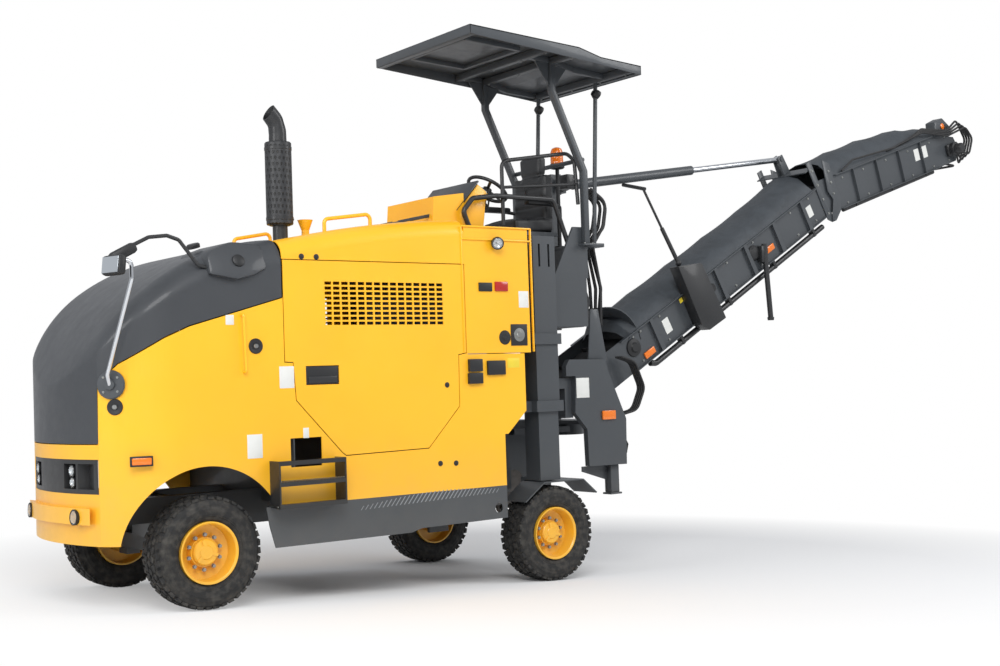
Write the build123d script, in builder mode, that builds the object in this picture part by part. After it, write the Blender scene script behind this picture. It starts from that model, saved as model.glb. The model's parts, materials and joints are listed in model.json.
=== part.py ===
from build123d import *
from math import cos, radians, sin
import os

# ---------------------------------------------------------------- driving dimensions, mm
# Chassis frame: +X forward, +Y left, +Z up, origin on the ground under the front axle.
TYRE_OD = 700.0
TYRE_WIDTH = 246.0
RIM_RADIUS = 192.0
WHEELBASE = 2810.0
NOSE_DOWN = 3.07            # degrees: the rear legs stand extended, so the nose is low
FRONT_WHEEL_Y = 684.0
REAR_LEFT_Y = 604.0
REAR_RIGHT_Y = -980.0       # this wheel stands outside the drum box
BODY_HALF = 800.0           # half width over the side panels
SHEET = 8.0                 # thickness of the bodywork
PANEL_GAP = 6.0             # gap round doors and the hood
FIT = 0.05                  # radial clearance of running fits
CLEAR = 6.0                 # between bodies that move past each other
SEAT = 0.3                  # between curved faces that touch

TYRE_R = TYRE_OD / 2
AXLE_Z = TYRE_R
REAR_X = -WHEELBASE * cos(radians(NOSE_DOWN))
REAR_Z = AXLE_Z - WHEELBASE * sin(radians(NOSE_DOWN))

# Bodywork levels and stations
SKIRT_Z = 335.0             # lower edge of the grey side skirts
PAINT_Z = 595.0             # yellow above, grey below
CHIN_Z = 430.0              # lower edge of the front bumper
LAMP_Z0 = 742.0
LAMP_Z1 = 952.0
HOOD_Z0 = 1046.0            # lower edge of the hood on the nose
SEAM_Z = 2172.0             # seam between the side panels and the top cover
FIREWALL_X = -560.0
SIDE_REAR_X = -1990.0       # rear edge of the side doors
SKIRT_REAR_X = -2300.0
CABINET_REAR_X = -2560.0
CABINET_TOP_Z = 2436.0
CABINET_Z0 = 1540.0
CABINET_IN_Y = 440.0
NOSE_SIDE_X = 620.0         # where the nose face meets the sides
ARCH_R = 530.0

# Milling drum and its box
DRUM_X = -3150.0
DRUM_Z = 525.0
DRUM_OD = 600.0             # over the pick tips
DRUM_WIDTH = 500.0
DRUM_Y = -500.0

# Conveyor
SLEW_X = -3720.0
CONV_Y = -200.0
CONV_WIDTH = 600.0
CONV_SLOPE = 29.2           # degrees, lower section
CONV_UPPER_SLOPE = 17.5
LUFF_X = -3800.0
LUFF_Z = 1262.0
LOWER_LENGTH = 3420.0       # luffing pin to fold pin, along the section

pieces = []


def keep(builder, label):
    """Name a finished piece and put it on the list that is written at the end."""
    builder.part.label = label
    pieces.append(builder.part)


def block(x0, x1, y0, y1, z0, z1, mode=Mode.ADD):
    """A box between two opposite corners."""
    with Locations(((x0 + x1) / 2, (y0 + y1) / 2, (z0 + z1) / 2)):
        Box(abs(x1 - x0), abs(y1 - y0), abs(z1 - z0), mode=mode)


def outline_xz(points):
    """A closed x-z outline, on the plane y = 0."""
    with BuildSketch(Plane.XZ) as outline:
        with BuildLine():
            Polyline(*points, close=True)
        make_face()
    return outline.sketch


def slab(points, y0, y1, mode=Mode.ADD):
    """An x-z outline made solid between y0 and y1."""
    low = min(y0, y1)
    extrude(outline_xz(points).moved(Location((0, low, 0))), amount=-abs(y1 - y0), mode=mode)


def rod_y(x, z, y0, y1, radius, mode=Mode.ADD):
    """A round bar along Y."""
    with Locations(Location((x, (y0 + y1) / 2, z), (90, 0, 0))):
        Cylinder(radius, abs(y1 - y0), mode=mode)


def rod_z(x, y, z0, z1, radius, mode=Mode.ADD):
    """A round bar along Z."""
    with Locations((x, y, (z0 + z1) / 2)):
        Cylinder(radius, abs(z1 - z0), mode=mode)


def rod_between(start, end, radius, mode=Mode.ADD):
    """A round bar from one point to another."""
    span = Vector(*end) - Vector(*start)
    with BuildSketch(Plane(origin=start, z_dir=span)) as section:
        Circle(radius)
    extrude(section.sketch, amount=span.length, mode=mode)


def bent_tube(points, radius, bend):
    """A round tube along straight runs joined by bends."""
    with BuildLine() as path:
        FilletPolyline(*points, radius=bend)
    with BuildSketch(Plane(origin=path.line @ 0, z_dir=path.line % 0)) as section:
        Circle(radius)
    sweep(section.sketch, path=path.line)


def plan_outline(inset=0.0):
    """Outline of the bodywork seen from above: straight sides and a round nose."""
    with BuildSketch() as outline:
        with BuildLine():
            Line((-2700, -BODY_HALF), (-2700, BODY_HALF))
            Line((-2700, BODY_HALF), (180, BODY_HALF))
            side = TangentArc((180, BODY_HALF), (NOSE_SIDE_X, 600), tangent=(1, 0))
            TangentArc((NOSE_SIDE_X, 600), (NOSE_SIDE_X, -600), tangent=side % 1)
            TangentArc((180, -BODY_HALF), (NOSE_SIDE_X, -600), tangent=(1, 0))
            Line((-2700, -BODY_HALF), (180, -BODY_HALF))
        make_face()
        if inset:
            offset(amount=-inset, kind=Kind.INTERSECTION)
    return outline.sketch


def body_wall(z0, z1, outer=0.0, thickness=SHEET):
    """The body's upright wall between two levels, all the way round."""
    with BuildPart() as wall:
        extrude(plan_outline(outer).moved(Location((0, 0, z0))), amount=z1 - z0)
        extrude(plan_outline(outer + thickness).moved(Location((0, 0, z0))), amount=z1 - z0,
                mode=Mode.SUBTRACT)
        block(-2800, -2600, -900, 900, z0 - 1, z1 + 1, mode=Mode.SUBTRACT)
    return wall.part


def prism_xz(points, y0, y1):
    """A separate solid from an x-z outline."""
    with BuildPart() as region:
        slab(points, y0, y1)
    return region.part


# ---------------------------------------------------------------- wheels
def wheel_tyre(x, y, z):
    with BuildPart() as tyre:
        with BuildSketch(Plane(origin=(x, y, z), x_dir=(0, 1, 0), z_dir=(1, 0, 0))) as section:
            with Locations((0, (TYRE_R + RIM_RADIUS + SEAT) / 2)):
                Rectangle(TYRE_WIDTH, TYRE_R - RIM_RADIUS - SEAT)
            fillet(section.vertices().group_by(Axis.Y)[-1], 42)
            fillet(section.vertices().group_by(Axis.Y)[0], 18)
        revolve(axis=Axis((x, 0, z), (0, 1, 0)))
    return tyre


def wheel_rim(x, y, z, side):
    """Deep dished rim: barrel, bead flanges, disc and hub cover. side is +1 on the left."""
    half = TYRE_WIDTH / 2
    profile = [
        (-half + 8, RIM_RADIUS), (half - 8, RIM_RADIUS), (half - 8, RIM_RADIUS - 8),
        (half - 16, RIM_RADIUS - 16),
        (10, RIM_RADIUS - 24), (-6, 100), (34, 92), (34, 40), (22, 40), (22, HUB_R + FIT),
        (-60, HUB_R + FIT), (-60, 90), (-24, 100), (-20, RIM_RADIUS - 18),
        (-half + 8, RIM_RADIUS - 10)]
    with BuildPart() as rim:
        with BuildSketch(Plane(origin=(x, y, z), x_dir=(0, side, 0), z_dir=(side, 0, 0))) as section:
            with BuildLine():
                Polyline(*profile, close=True)
            make_face()
        revolve(axis=Axis((x, 0, z), (0, 1, 0)))
    return rim


HUB_R = 34.0
wheel_table = [  # name, x, y, z, side
    ("front_left", 0.0, FRONT_WHEEL_Y, AXLE_Z, 1),
    ("front_right", 0.0, -FRONT_WHEEL_Y, AXLE_Z, -1),
    ("rear_left", REAR_X, REAR_LEFT_Y, REAR_Z, 1),
    ("rear_right", REAR_X, REAR_RIGHT_Y, REAR_Z, -1),
]
for wheel_name, wx, wy, wz, wside in wheel_table:
    keep(wheel_tyre(wx, wy, wz), f"tyre_{wheel_name}")
    keep(wheel_rim(wx, wy, wz, wside), f"rim_{wheel_name}")

# ---------------------------------------------------------------- front axle and knuckles
KINGPIN_Y = 500.0
PIN_R = 22.0
with BuildPart() as front_axle:
    block(-70, 70, -440, 440, AXLE_Z - 45, AXLE_Z + 55)
    block(-110, 110, -150, 150, AXLE_Z + 55, AXLE_Z + 150)
    for side in (1, -1):
        for z0 in (AXLE_Z - 100, AXLE_Z + 66):
            block(-45, 45, side * 430, side * (KINGPIN_Y + 45), z0, z0 + 34)
        block(-45, 45, side * 400, side * 440, AXLE_Z - 100, AXLE_Z + 100)
        for z0 in (AXLE_Z - 100, AXLE_Z + 66):
            rod_z(0, side * KINGPIN_Y, z0, z0 + 34, PIN_R + FIT, mode=Mode.SUBTRACT)
keep(front_axle, "front_axle")

for knuckle_name, side in (("left", 1), ("right", -1)):
    with BuildPart() as knuckle:
        rod_z(0, side * KINGPIN_Y, AXLE_Z - 98, AXLE_Z + 98, PIN_R)
        rod_z(0, side * KINGPIN_Y, AXLE_Z - 65, AXLE_Z + 65, 42)
        rod_y(0, AXLE_Z, side * (KINGPIN_Y + 20), side * (FRONT_WHEEL_Y - 62), 60)
        rod_y(0, AXLE_Z, side * (FRONT_WHEEL_Y - 62), side * (FRONT_WHEEL_Y + 20), HUB_R)
        block(-150, -20, side * (KINGPIN_Y - 16), side * (KINGPIN_Y + 16), AXLE_Z - 60, AXLE_Z - 30)
    keep(knuckle, f"knuckle_{knuckle_name}")

# ---------------------------------------------------------------- rear lifting legs
LEG_X = 210.0
LEG_Y = 190.0
LEG_WALL = 10.0
LEG_PLAY = 0.5
GUIDE_Z0 = 1100.0
GUIDE_Z1 = 2410.0
CLAMP_X = 22.0
CLAMP_Y = 18.0
CLAMP_HEIGHT = 80.0
CLAMP_PITCH = 500.0
RIGHT_LEG_X = -2600.0
RIGHT_LEG_Y = -670.0
HUB_PLATE = (12.0, 45.0)    # outer and inner face of the hub plate, inboard of the tyre
leg_table = [  # name, x, y, side
    ("left", REAR_X, 590.0, 1),
    ("right", RIGHT_LEG_X, RIGHT_LEG_Y, -1),
]
with BuildPart() as leg_guides:
    for leg_name, lx, ly, side in leg_table:
        block(lx - LEG_X / 2, lx + LEG_X / 2, ly - LEG_Y / 2, ly + LEG_Y / 2, GUIDE_Z0, GUIDE_Z1)
        for z0 in (GUIDE_Z0, GUIDE_Z0 + CLAMP_PITCH):
            block(lx - LEG_X / 2 - CLAMP_X, lx + LEG_X / 2 + CLAMP_X, ly - LEG_Y / 2 - CLAMP_Y,
                  ly + LEG_Y / 2 + CLAMP_Y, z0, z0 + CLAMP_HEIGHT)
    for leg_name, lx, ly, side in leg_table:
        block(lx - LEG_X / 2 + LEG_WALL, lx + LEG_X / 2 - LEG_WALL, ly - LEG_Y / 2 + LEG_WALL,
              ly + LEG_Y / 2 - LEG_WALL, GUIDE_Z0 - 1, GUIDE_Z1 - LEG_WALL, mode=Mode.SUBTRACT)
        for dx in (-45, 45):
            block(lx + dx - 9, lx + dx + 9, ly + side * 80, ly + side * 110, 2180, 2350,
                  mode=Mode.SUBTRACT)
keep(leg_guides, "leg_guides")

LEG_TOP_Z = 2120.0
LEG_FOOT_Z = 612.0
inner_x = LEG_X / 2 - LEG_WALL - LEG_PLAY
inner_y = LEG_Y / 2 - LEG_WALL - LEG_PLAY
for leg_name, lx, ly, side in leg_table:
    wheel_y = REAR_LEFT_Y if side > 0 else REAR_RIGHT_Y
    inner_face = wheel_y - side * (TYRE_WIDTH / 2)
    with BuildPart() as leg:
        block(lx - inner_x, lx + inner_x, ly - inner_y, ly + inner_y, LEG_FOOT_Z, LEG_TOP_Z)
        block(lx - inner_x + 10, lx + inner_x - 10, ly - inner_y + 10, ly + inner_y - 10,
              LEG_FOOT_Z + 10, LEG_TOP_Z - 10, mode=Mode.SUBTRACT)
        # foot plate under the tube, reaching out to the upright hub plate inside the wheel
        face_out = inner_face - side * HUB_PLATE[0]
        face_in = inner_face - side * HUB_PLATE[1]
        block(lx - 95, lx + 95, min(face_in, face_out, ly - 85), max(face_in, face_out, ly + 85),
              LEG_FOOT_Z - 22, LEG_FOOT_Z)
        block(min(lx, REAR_X) - 95, max(lx, REAR_X) + 95, face_in, face_out, LEG_FOOT_Z - 60, LEG_FOOT_Z)
        block(REAR_X - 95, REAR_X + 95, face_in, face_out, REAR_Z - 95, LEG_FOOT_Z)
        rod_y(REAR_X, REAR_Z, face_out, wheel_y - side * 62, 84)
        rod_y(REAR_X, REAR_Z, wheel_y - side * 62, wheel_y + side * 20, HUB_R)
        # mudguard over the wheel
        guard = [(290, 255), (110, 384), (-270, 384), (-400, 275), (-394, 268), (-268, 376),
                 (108, 376), (285, 248)]
        slab([(REAR_X + gx, REAR_Z + gz) for gx, gz in guard], face_out,
             wheel_y + side * (TYRE_WIDTH / 2 + 8))
    keep(leg, f"leg_{leg_name}")

# ---------------------------------------------------------------- chassis frame
BEAM_Y = 290.0
FLOOR_Z = 1800.0            # underside of the operator's floor
PORTAL_X = REAR_X + LEG_X / 2 + CLAMP_X + 110
with BuildPart() as chassis_frame:
    # two main beams with cross members
    for side in (1, -1):
        block(-2700, 520, side * (BEAM_Y - 40), side * (BEAM_Y + 40), 520, 680)
        # grey skirt with the raised step towards the rear, and its brackets
        slab([(-450, SKIRT_Z), (-1480, SKIRT_Z), (-1560, SKIRT_Z + 22), (SKIRT_REAR_X, SKIRT_Z + 30),
              (SKIRT_REAR_X, PAINT_Z), (-390, PAINT_Z), (-412, 470)],
             side * (BODY_HALF - SHEET), side * BODY_HALF)
        for x0 in (-900, -1600, -2280):
            block(x0, x0 + 60, side * BEAM_Y, side * (BODY_HALF - SHEET), 545, 640)
    for x0 in (440, -130, -900, -1600, -2300, -2640):
        block(x0, x0 + 80, -BEAM_Y, BEAM_Y, 545, 655)
    # axle saddle
    block(-110, 110, -200, 200, AXLE_Z + 150, 560)
    # firewall and rear bulkhead, which carry the panels
    for x0 in (FIREWALL_X - 40, SIDE_REAR_X + 20):
        block(x0 - SHEET, x0, -(BODY_HALF - SHEET), BODY_HALF - SHEET, 600, 2160)
    # rear portal that holds the leg guides by their clamps
    for z0 in (GUIDE_Z0, GUIDE_Z0 + CLAMP_PITCH):
        block(PORTAL_X - 110, PORTAL_X, RIGHT_LEG_Y + LEG_Y / 2 + CLAMP_Y, 640, z0, z0 + CLAMP_HEIGHT)
    for side in (1, -1):
        block(PORTAL_X - 110, PORTAL_X, side * (BEAM_Y - 40), side * (BEAM_Y + 40), 655, FLOOR_Z - 60)
    for side in (1, -1):
        rod_y(-2225, 440, side * 780, side * 810, 34, mode=Mode.SUBTRACT)
keep(chassis_frame, "chassis_frame")

# ---------------------------------------------------------------- engine, one plain block
with BuildPart() as engine_block:
    block(-1750, -680, -249, 249, 655, 1500)
keep(engine_block, "engine_block")

# ---------------------------------------------------------------- hood
HOOD_TOP = 2308.0
HOOD_SHOULDER = 180.0
HOOD_REAR_X = FIREWALL_X + 20
HOOD_HINGE = (HOOD_REAR_X - PANEL_GAP / 2, HOOD_TOP + 6)
side_edge = [  # lower edge of the hood along the side, x, z
    (NOSE_SIDE_X, 1385), (590, 1450), (520, 1513), (100, 1692), (HOOD_REAR_X, 1925)]


def hood_form(inset):
    """The hood's closed outer form, or the same form drawn in by a sheet's thickness."""
    with BuildPart() as form:
        extrude(plan_outline(inset).moved(Location((0, 0, HOOD_Z0 - 100))), amount=1600)
        with BuildSketch(Plane.XZ.offset(-1000)):
            with BuildLine():
                Line((HOOD_REAR_X, HOOD_Z0 - 100), (1000, HOOD_Z0 - 100))
                Line((1000, HOOD_Z0 - 100), (1000, 1400))
                rear = TangentArc((HOOD_REAR_X, HOOD_TOP - inset), (300, 2090 - inset),
                                  tangent=(1, -0.08))
                TangentArc((300, 2090 - inset), (1000, 1400), tangent=rear % 1)
                Line((HOOD_REAR_X, HOOD_TOP - inset), (HOOD_REAR_X, HOOD_Z0 - 100))
            make_face()
        extrude(amount=2000, mode=Mode.INTERSECT)
        crest = [edge for edge in form.edges() if edge.center().Z > 1300
                 and edge.bounding_box().size.Z > 20 and edge.bounding_box().size.X > 10]
        fillet(crest, HOOD_SHOULDER - inset)
    return form.part


with BuildPart() as front_hood:
    add(hood_form(0))
    add(hood_form(SHEET), mode=Mode.SUBTRACT)
    below = [(1200, 0), (1200, HOOD_Z0), (NOSE_SIDE_X, HOOD_Z0)] + side_edge + [(-700, 1925), (-700, 0)]
    slab(below, -1000, 1000, mode=Mode.SUBTRACT)
keep(front_hood, "front_hood")

# ---------------------------------------------------------------- side panels
DOOR_FRONT_X = HOOD_REAR_X - 2 * PANEL_GAP
DOOR_REAR_X = SIDE_REAR_X + 10
DOOR_TOP_Z = SEAM_Z - PANEL_GAP
door_outline = [  # x, z
    (DOOR_FRONT_X, DOOR_TOP_Z), (DOOR_REAR_X, DOOR_TOP_Z), (DOOR_REAR_X, 1548), (-1912, 1536),
    (-1906, 1175), (-1640, 900), (-985, 890), (-955, 912), (-628, 1262), (-612, 1508),
    (DOOR_FRONT_X, 1512)]


def grown(points, by):
    """The same outline made larger all round."""
    with BuildSketch(Plane.XZ) as outline:
        with BuildLine():
            Polyline(*points, close=True)
        make_face()
        offset(amount=by, kind=Kind.INTERSECTION)
    return outline.sketch


panel_outline = [(NOSE_SIDE_X, CHIN_Z), (NOSE_SIDE_X, HOOD_Z0)]
panel_outline += [(x - 4, z - PANEL_GAP) for x, z in side_edge]
panel_outline += [(HOOD_REAR_X - PANEL_GAP, 1925), (HOOD_REAR_X - PANEL_GAP, SEAM_Z),
                  (SIDE_REAR_X, SEAM_Z), (SIDE_REAR_X, 1534), (-2500, 1534), (-2500, 1120),
                  (-2330, 960), (SKIRT_REAR_X, 960), (SKIRT_REAR_X, PAINT_Z), (-380, PAINT_Z),
                  (-380, CHIN_Z)]
for panel_name, side in (("left", 1), ("right", -1)):
    with BuildPart() as side_panel:
        add(body_wall(CHIN_Z, SEAM_Z))
        add(prism_xz(panel_outline, side * 300, side * 900), mode=Mode.INTERSECT)
        rod_y(0, AXLE_Z, side * 200, side * 900, ARCH_R, mode=Mode.SUBTRACT)
        low = min(side * 700, side * 900)
        extrude(grown(door_outline, PANEL_GAP).moved(Location((0, low, 0))), amount=-200,
                mode=Mode.SUBTRACT)
        if side > 0:
            block(-802, -574, 700, 900, 835, 1020, mode=Mode.SUBTRACT)
    keep(side_panel, f"side_panel_{panel_name}")

# ---------------------------------------------------------------- doors with grille and handle
GRILLE = (-1800, -850, 1740, 2037)
grille_columns = 15
grille_rows = 9
for door_name, side in (("left", 1), ("right", -1)):
    with BuildPart() as door:
        slab(door_outline, side * (BODY_HALF - SHEET), side * BODY_HALF)
        x_low, x_high, z_low, z_high = GRILLE
        pitch_x = (x_high - x_low) / grille_columns
        pitch_z = (z_high - z_low) / grille_rows
        with BuildSketch(Plane.XZ.offset(-side * BODY_HALF + 20)):
            with Locations(((x_low + x_high) / 2, (z_low + z_high) / 2)):
                with GridLocations(pitch_x, pitch_z, grille_columns, grille_rows):
                    Rectangle(pitch_x - 12, pitch_z - 12)
        extrude(amount=-40, mode=Mode.SUBTRACT)
        block(-947, -700, side * 780, side * 810, 1357, 1481, mode=Mode.SUBTRACT)
        # pocket behind the handle
        block(-955, -692, side * (BODY_HALF - 46), side * (BODY_HALF - SHEET), 1349, 1489)
        block(-947, -700, side * (BODY_HALF - 38), side * (BODY_HALF + 1), 1357, 1481,
              mode=Mode.SUBTRACT)
        block(-935, -715, side * (BODY_HALF - 39), side * (BODY_HALF - 14), 1385, 1412)
    keep(door, f"door_{door_name}")

# ---------------------------------------------------------------- top cover over the engine
COVER_FRONT = (HOOD_REAR_X - PANEL_GAP, 2300.0)
COVER_KNEE = (-800.0, 2350.0)


def cover_z(x):
    """Height of the cover's straight front stretch."""
    rise = (COVER_KNEE[1] - COVER_FRONT[1]) / (COVER_FRONT[0] - COVER_KNEE[0])
    return COVER_FRONT[1] + rise * (COVER_FRONT[0] - x)


def cover_form(inset):
    with BuildPart() as form:
        with BuildSketch(Plane.XZ.offset(-BODY_HALF + inset)):
            with BuildLine():
                top = Line((COVER_FRONT[0], COVER_FRONT[1] - inset), (COVER_KNEE[0], COVER_KNEE[1] - inset))
                TangentArc((COVER_KNEE[0], COVER_KNEE[1] - inset), (SIDE_REAR_X, 2492 - inset),
                           tangent=top % 1)
                Polyline((SIDE_REAR_X, 2492 - inset), (SIDE_REAR_X, SEAM_Z),
                         (COVER_FRONT[0], SEAM_Z), (COVER_FRONT[0], COVER_FRONT[1] - inset))
            make_face()
        extrude(amount=2 * (BODY_HALF - inset))
        crest = [edge for edge in form.edges() if edge.center().Z > 2200
                 and edge.bounding_box().size.X > 100 and abs(edge.center().Y) > 100]
        fillet(crest, 120 - inset)
    return form.part


with BuildPart() as top_cover:
    add(cover_form(0))
    add(cover_form(SHEET), mode=Mode.SUBTRACT)
keep(top_cover, "top_cover")

# ---------------------------------------------------------------- front bumper, lamp box
with BuildPart() as front_bumper:
    add(body_wall(CHIN_Z, HOOD_Z0 - PANEL_GAP, thickness=30))
    block(-2800, NOSE_SIDE_X, -900, 900, 0, 3000, mode=Mode.SUBTRACT)
    block(0, 1200, -900, 900, LAMP_Z0, LAMP_Z1, mode=Mode.SUBTRACT)
    # the bulge across the lower front
    with BuildSketch(Plane.XY.offset(560)):
        add(plan_outline(-45))
        add(plan_outline(10), mode=Mode.SUBTRACT)
        with Locations((0, 0)):
            Rectangle(2 * 690, 2000, mode=Mode.SUBTRACT)
        with Locations((-2000, 0)):
            Rectangle(3000, 3000, mode=Mode.SUBTRACT)
    extrude(amount=100)
    # inner plate that bolts to the frame
    block(520, 640, -560, 560, 640, 700)
keep(front_bumper, "front_bumper")

with BuildPart() as lamp_box:
    add(body_wall(LAMP_Z0, LAMP_Z1, outer=6, thickness=120))
    block(-2800, NOSE_SIDE_X + 2, -900, 900, 0, 3000, mode=Mode.SUBTRACT)
    for y in (-500, -330, 330, 500):
        block(640, 900, y - 75, y + 75, LAMP_Z0 + 28, LAMP_Z1 - 28, mode=Mode.SUBTRACT)
keep(lamp_box, "lamp_box")

# ---------------------------------------------------------------- rear cabinet
with BuildPart() as rear_cabinet:
    for side, rear_x in ((1, CABINET_REAR_X), (-1, RIGHT_LEG_X + LEG_X / 2 + CLAMP_X + CLEAR)):
        block(rear_x, SIDE_REAR_X, side * CABINET_IN_Y, side * BODY_HALF, CABINET_Z0, CABINET_TOP_Z)
        block(rear_x + SHEET, SIDE_REAR_X - SHEET, side * (CABINET_IN_Y + SHEET),
              side * (BODY_HALF - SHEET), CABINET_Z0 + SHEET, CABINET_TOP_Z - SHEET, mode=Mode.SUBTRACT)
        # opening towards the operator
        block(rear_x + 60, SIDE_REAR_X - 60, side * (CABINET_IN_Y - 1), side * (CABINET_IN_Y + 20),
              CABINET_Z0 + 60, CABINET_TOP_Z - 90, mode=Mode.SUBTRACT)
keep(rear_cabinet, "rear_cabinet")

# ---------------------------------------------------------------- exhaust
EXHAUST_X = -715.0
EXHAUST_Y = 480.0
with BuildPart() as exhaust_stack:
    slab([(EXHAUST_X + 72, cover_z(EXHAUST_X + 72)), (EXHAUST_X + 72, cover_z(EXHAUST_X + 72) + 14),
          (EXHAUST_X - 72, cover_z(EXHAUST_X - 72) + 14), (EXHAUST_X - 72, cover_z(EXHAUST_X - 72))],
         EXHAUST_Y - 72, EXHAUST_Y + 72)
    rod_z(EXHAUST_X, EXHAUST_Y, cover_z(EXHAUST_X) + 12, 2420, 52)
    rod_z(EXHAUST_X, EXHAUST_Y, 2420, 2985, 90)
    with BuildLine() as stack_path:
        FilletPolyline((EXHAUST_X, EXHAUST_Y, 2985), (EXHAUST_X, EXHAUST_Y, 3130),
                       (EXHAUST_X + 60, EXHAUST_Y, 3225), radius=100)
    with BuildSketch(Plane(origin=stack_path.line @ 0, z_dir=stack_path.line % 0)):
        Circle(62)
    sweep(path=stack_path.line)
    with BuildSketch(Plane(origin=stack_path.line @ 1, z_dir=stack_path.line % 1)) as bore:
        Circle(56)
    extrude(bore.sketch, amount=-120, mode=Mode.SUBTRACT)
keep(exhaust_stack, "exhaust_stack")

# ---------------------------------------------------------------- grab rails and filler cup
CUP_X = -905.0
with BuildPart() as grab_rails:
    bent_tube([(-960, 640, 2370), (-960, 640, 2462), (-1320, 640, 2512), (-1320, 640, 2420)], 13, 34)
    bent_tube([(-760, -300, 2336), (-760, -300, 2415), (-1050, -300, 2468), (-1050, -300, 2385)], 13, 34)
    rod_z(CUP_X, EXHAUST_Y, 2360, 2410, 26)
    with BuildSketch(Plane.XY.offset(2400)) as cup_low:
        with Locations((CUP_X, EXHAUST_Y)):
            Circle(26)
    with BuildSketch(Plane.XY.offset(2470)) as cup_high:
        with Locations((CUP_X, EXHAUST_Y)):
            Circle(52)
    loft(sections=[cup_low.sketch, cup_high.sketch])
    add(cover_form(0), mode=Mode.SUBTRACT)
keep(grab_rails, "grab_rails")

# ---------------------------------------------------------------- dash console and steering
BULKHEAD_X = SIDE_REAR_X + 12
LID_Z = 2497.0
lid_outline = [(-1740, LID_Z), (-1900, 2745), (-2450, 2812), (-2462, 2790), (-2330, 2620), (-2300, LID_Z)]
with BuildPart() as dash_console:
    slab([(BULKHEAD_X, 2100), (BULKHEAD_X, 2470), (-2300, 2488), (-2480, 2400), (-2480, 2100)],
         -250, 410)
    slab([(-2000, 2460), (-2020, 2700), (-2290, 2740), (-2290, 2460)], -220, 400)
    block(-2100, lid_outline[0][0] + 8, -300, 500, LID_Z - 4.5, LID_Z - SEAT)
    rod_between((-2440, 120, 2380), (-2700, 120, 2790), 30)
keep(dash_console, "dash_console")

LID_HINGE = (lid_outline[0][0], LID_Z)
with BuildPart() as dash_lid:
    slab(lid_outline, -300, 500)
    with BuildSketch(Plane.XZ) as lid_inside:
        with BuildLine():
            Polyline((-1760, LID_Z - 5), (-1905, 2735), (-2449, 2802), (-2500, 2700), (-2500, LID_Z - 5),
                     close=True)
        make_face()
    extrude(lid_inside.sketch.moved(Location((0, -292, 0))), amount=-784, mode=Mode.SUBTRACT)
keep(dash_lid, "dash_lid")

STEER_BASE = (-2700.0, 120.0, 2790.0)
STEER_AXIS = (-0.5355, 0.0, 0.8445)
with BuildPart() as steering_wheel:
    hub_plane = Plane(origin=STEER_BASE, z_dir=STEER_AXIS)
    with Locations(hub_plane.offset(25)):
        Cylinder(36, 48)
    with BuildSketch(hub_plane.offset(38)):
        with PolarLocations(0, 3, start_angle=60):
            with Locations((79, 0)):
                Rectangle(158, 24)
    extrude(amount=8)
    with Locations(hub_plane.offset(45)):
        Torus(160, 14)
keep(steering_wheel, "steering_wheel")

# ---------------------------------------------------------------- operator's stand
STAND_REAR_X = -3400.0
TOWER_Y = -200.0            # the conveyor's middle plane
PLATE_LEFT_Y = 456.0        # inner face of the left side plate
PLATE_RIGHT_Y = -336.0
with BuildPart() as platform:
    block(STAND_REAR_X, -2575, -420, 410, FLOOR_Z, FLOOR_Z + 40)
    for side in (1, -1):
        block(STAND_REAR_X, -2580, side * (BEAM_Y - 40), side * (BEAM_Y + 40), FLOOR_Z - 60, FLOOR_Z)
    # side plates that carry the roof posts
    for y in (PLATE_LEFT_Y, PLATE_RIGHT_Y):
        slab([(STAND_REAR_X, FLOOR_Z - 60), (STAND_REAR_X, 2520), (-3280, 2520), (-3040, 2063),
              (-3040, FLOOR_Z - 60)], y, y + 20)
    block(STAND_REAR_X - 20, STAND_REAR_X, PLATE_RIGHT_Y, 400, FLOOR_Z - 60, 2370)
    block(STAND_REAR_X - 20, STAND_REAR_X, 380, PLATE_LEFT_Y + 20, 2120, 2370)
keep(platform, "platform")

with BuildPart() as seat_frame:
    block(-3200, -2900, -40, 240, FLOOR_Z + 40, FLOOR_Z + 80)
    block(-3150, -2950, 20, 180, FLOOR_Z + 80, 2460)
    block(-3262, -2860, -110, 310, 2460, 2490)
    block(-3262, -3238, -60, 260, 2470, 2900)
    block(-3262, -3238, 40, 160, 2890, 3020)
keep(seat_frame, "seat_frame")

with BuildPart() as seat_cushions:
    block(-3220, -2840, -120, 320, 2491, 2590)
    block(-3237.7, -3150, -110, 310, 2590.4, 2950)
    with Locations((-3197.7, 100, 3040)):
        Box(80, 250, 150)
    fillet(seat_cushions.edges(), 22)
keep(seat_cushions, "seat_cushions")

# ---------------------------------------------------------------- roof
POST_X = -3355.0
POST_LEFT_Y = PLATE_LEFT_Y + 20 + 24
POST_RIGHT_Y = PLATE_RIGHT_Y - 24
ROOF_Z = 3775.0             # underside at the front edge
ROOF_DROP = NOSE_DOWN       # the roof is level with the ground


def roof_point(x, y, z):
    """A point given on the level roof, z above its front lower edge."""
    drop = (x + 1980) * sin(radians(ROOF_DROP))
    return (x, y, ROOF_Z + drop + z)


with BuildPart() as roof_panel:
    top = [(-1980, 0), (-1980, 92), (-2900, 150), (-3690, 92), (-3690, 0)]
    slab([(x, roof_point(x, 0, z)[2]) for x, z in top], -500, 850)
    inner = [(-1990, -1), (-1990, 78), (-2900, 136), (-3680, 78), (-3680, -1)]
    slab([(x, roof_point(x, 0, z)[2]) for x, z in inner], -490, 840, mode=Mode.SUBTRACT)
keep(roof_panel, "roof_panel")

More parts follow.
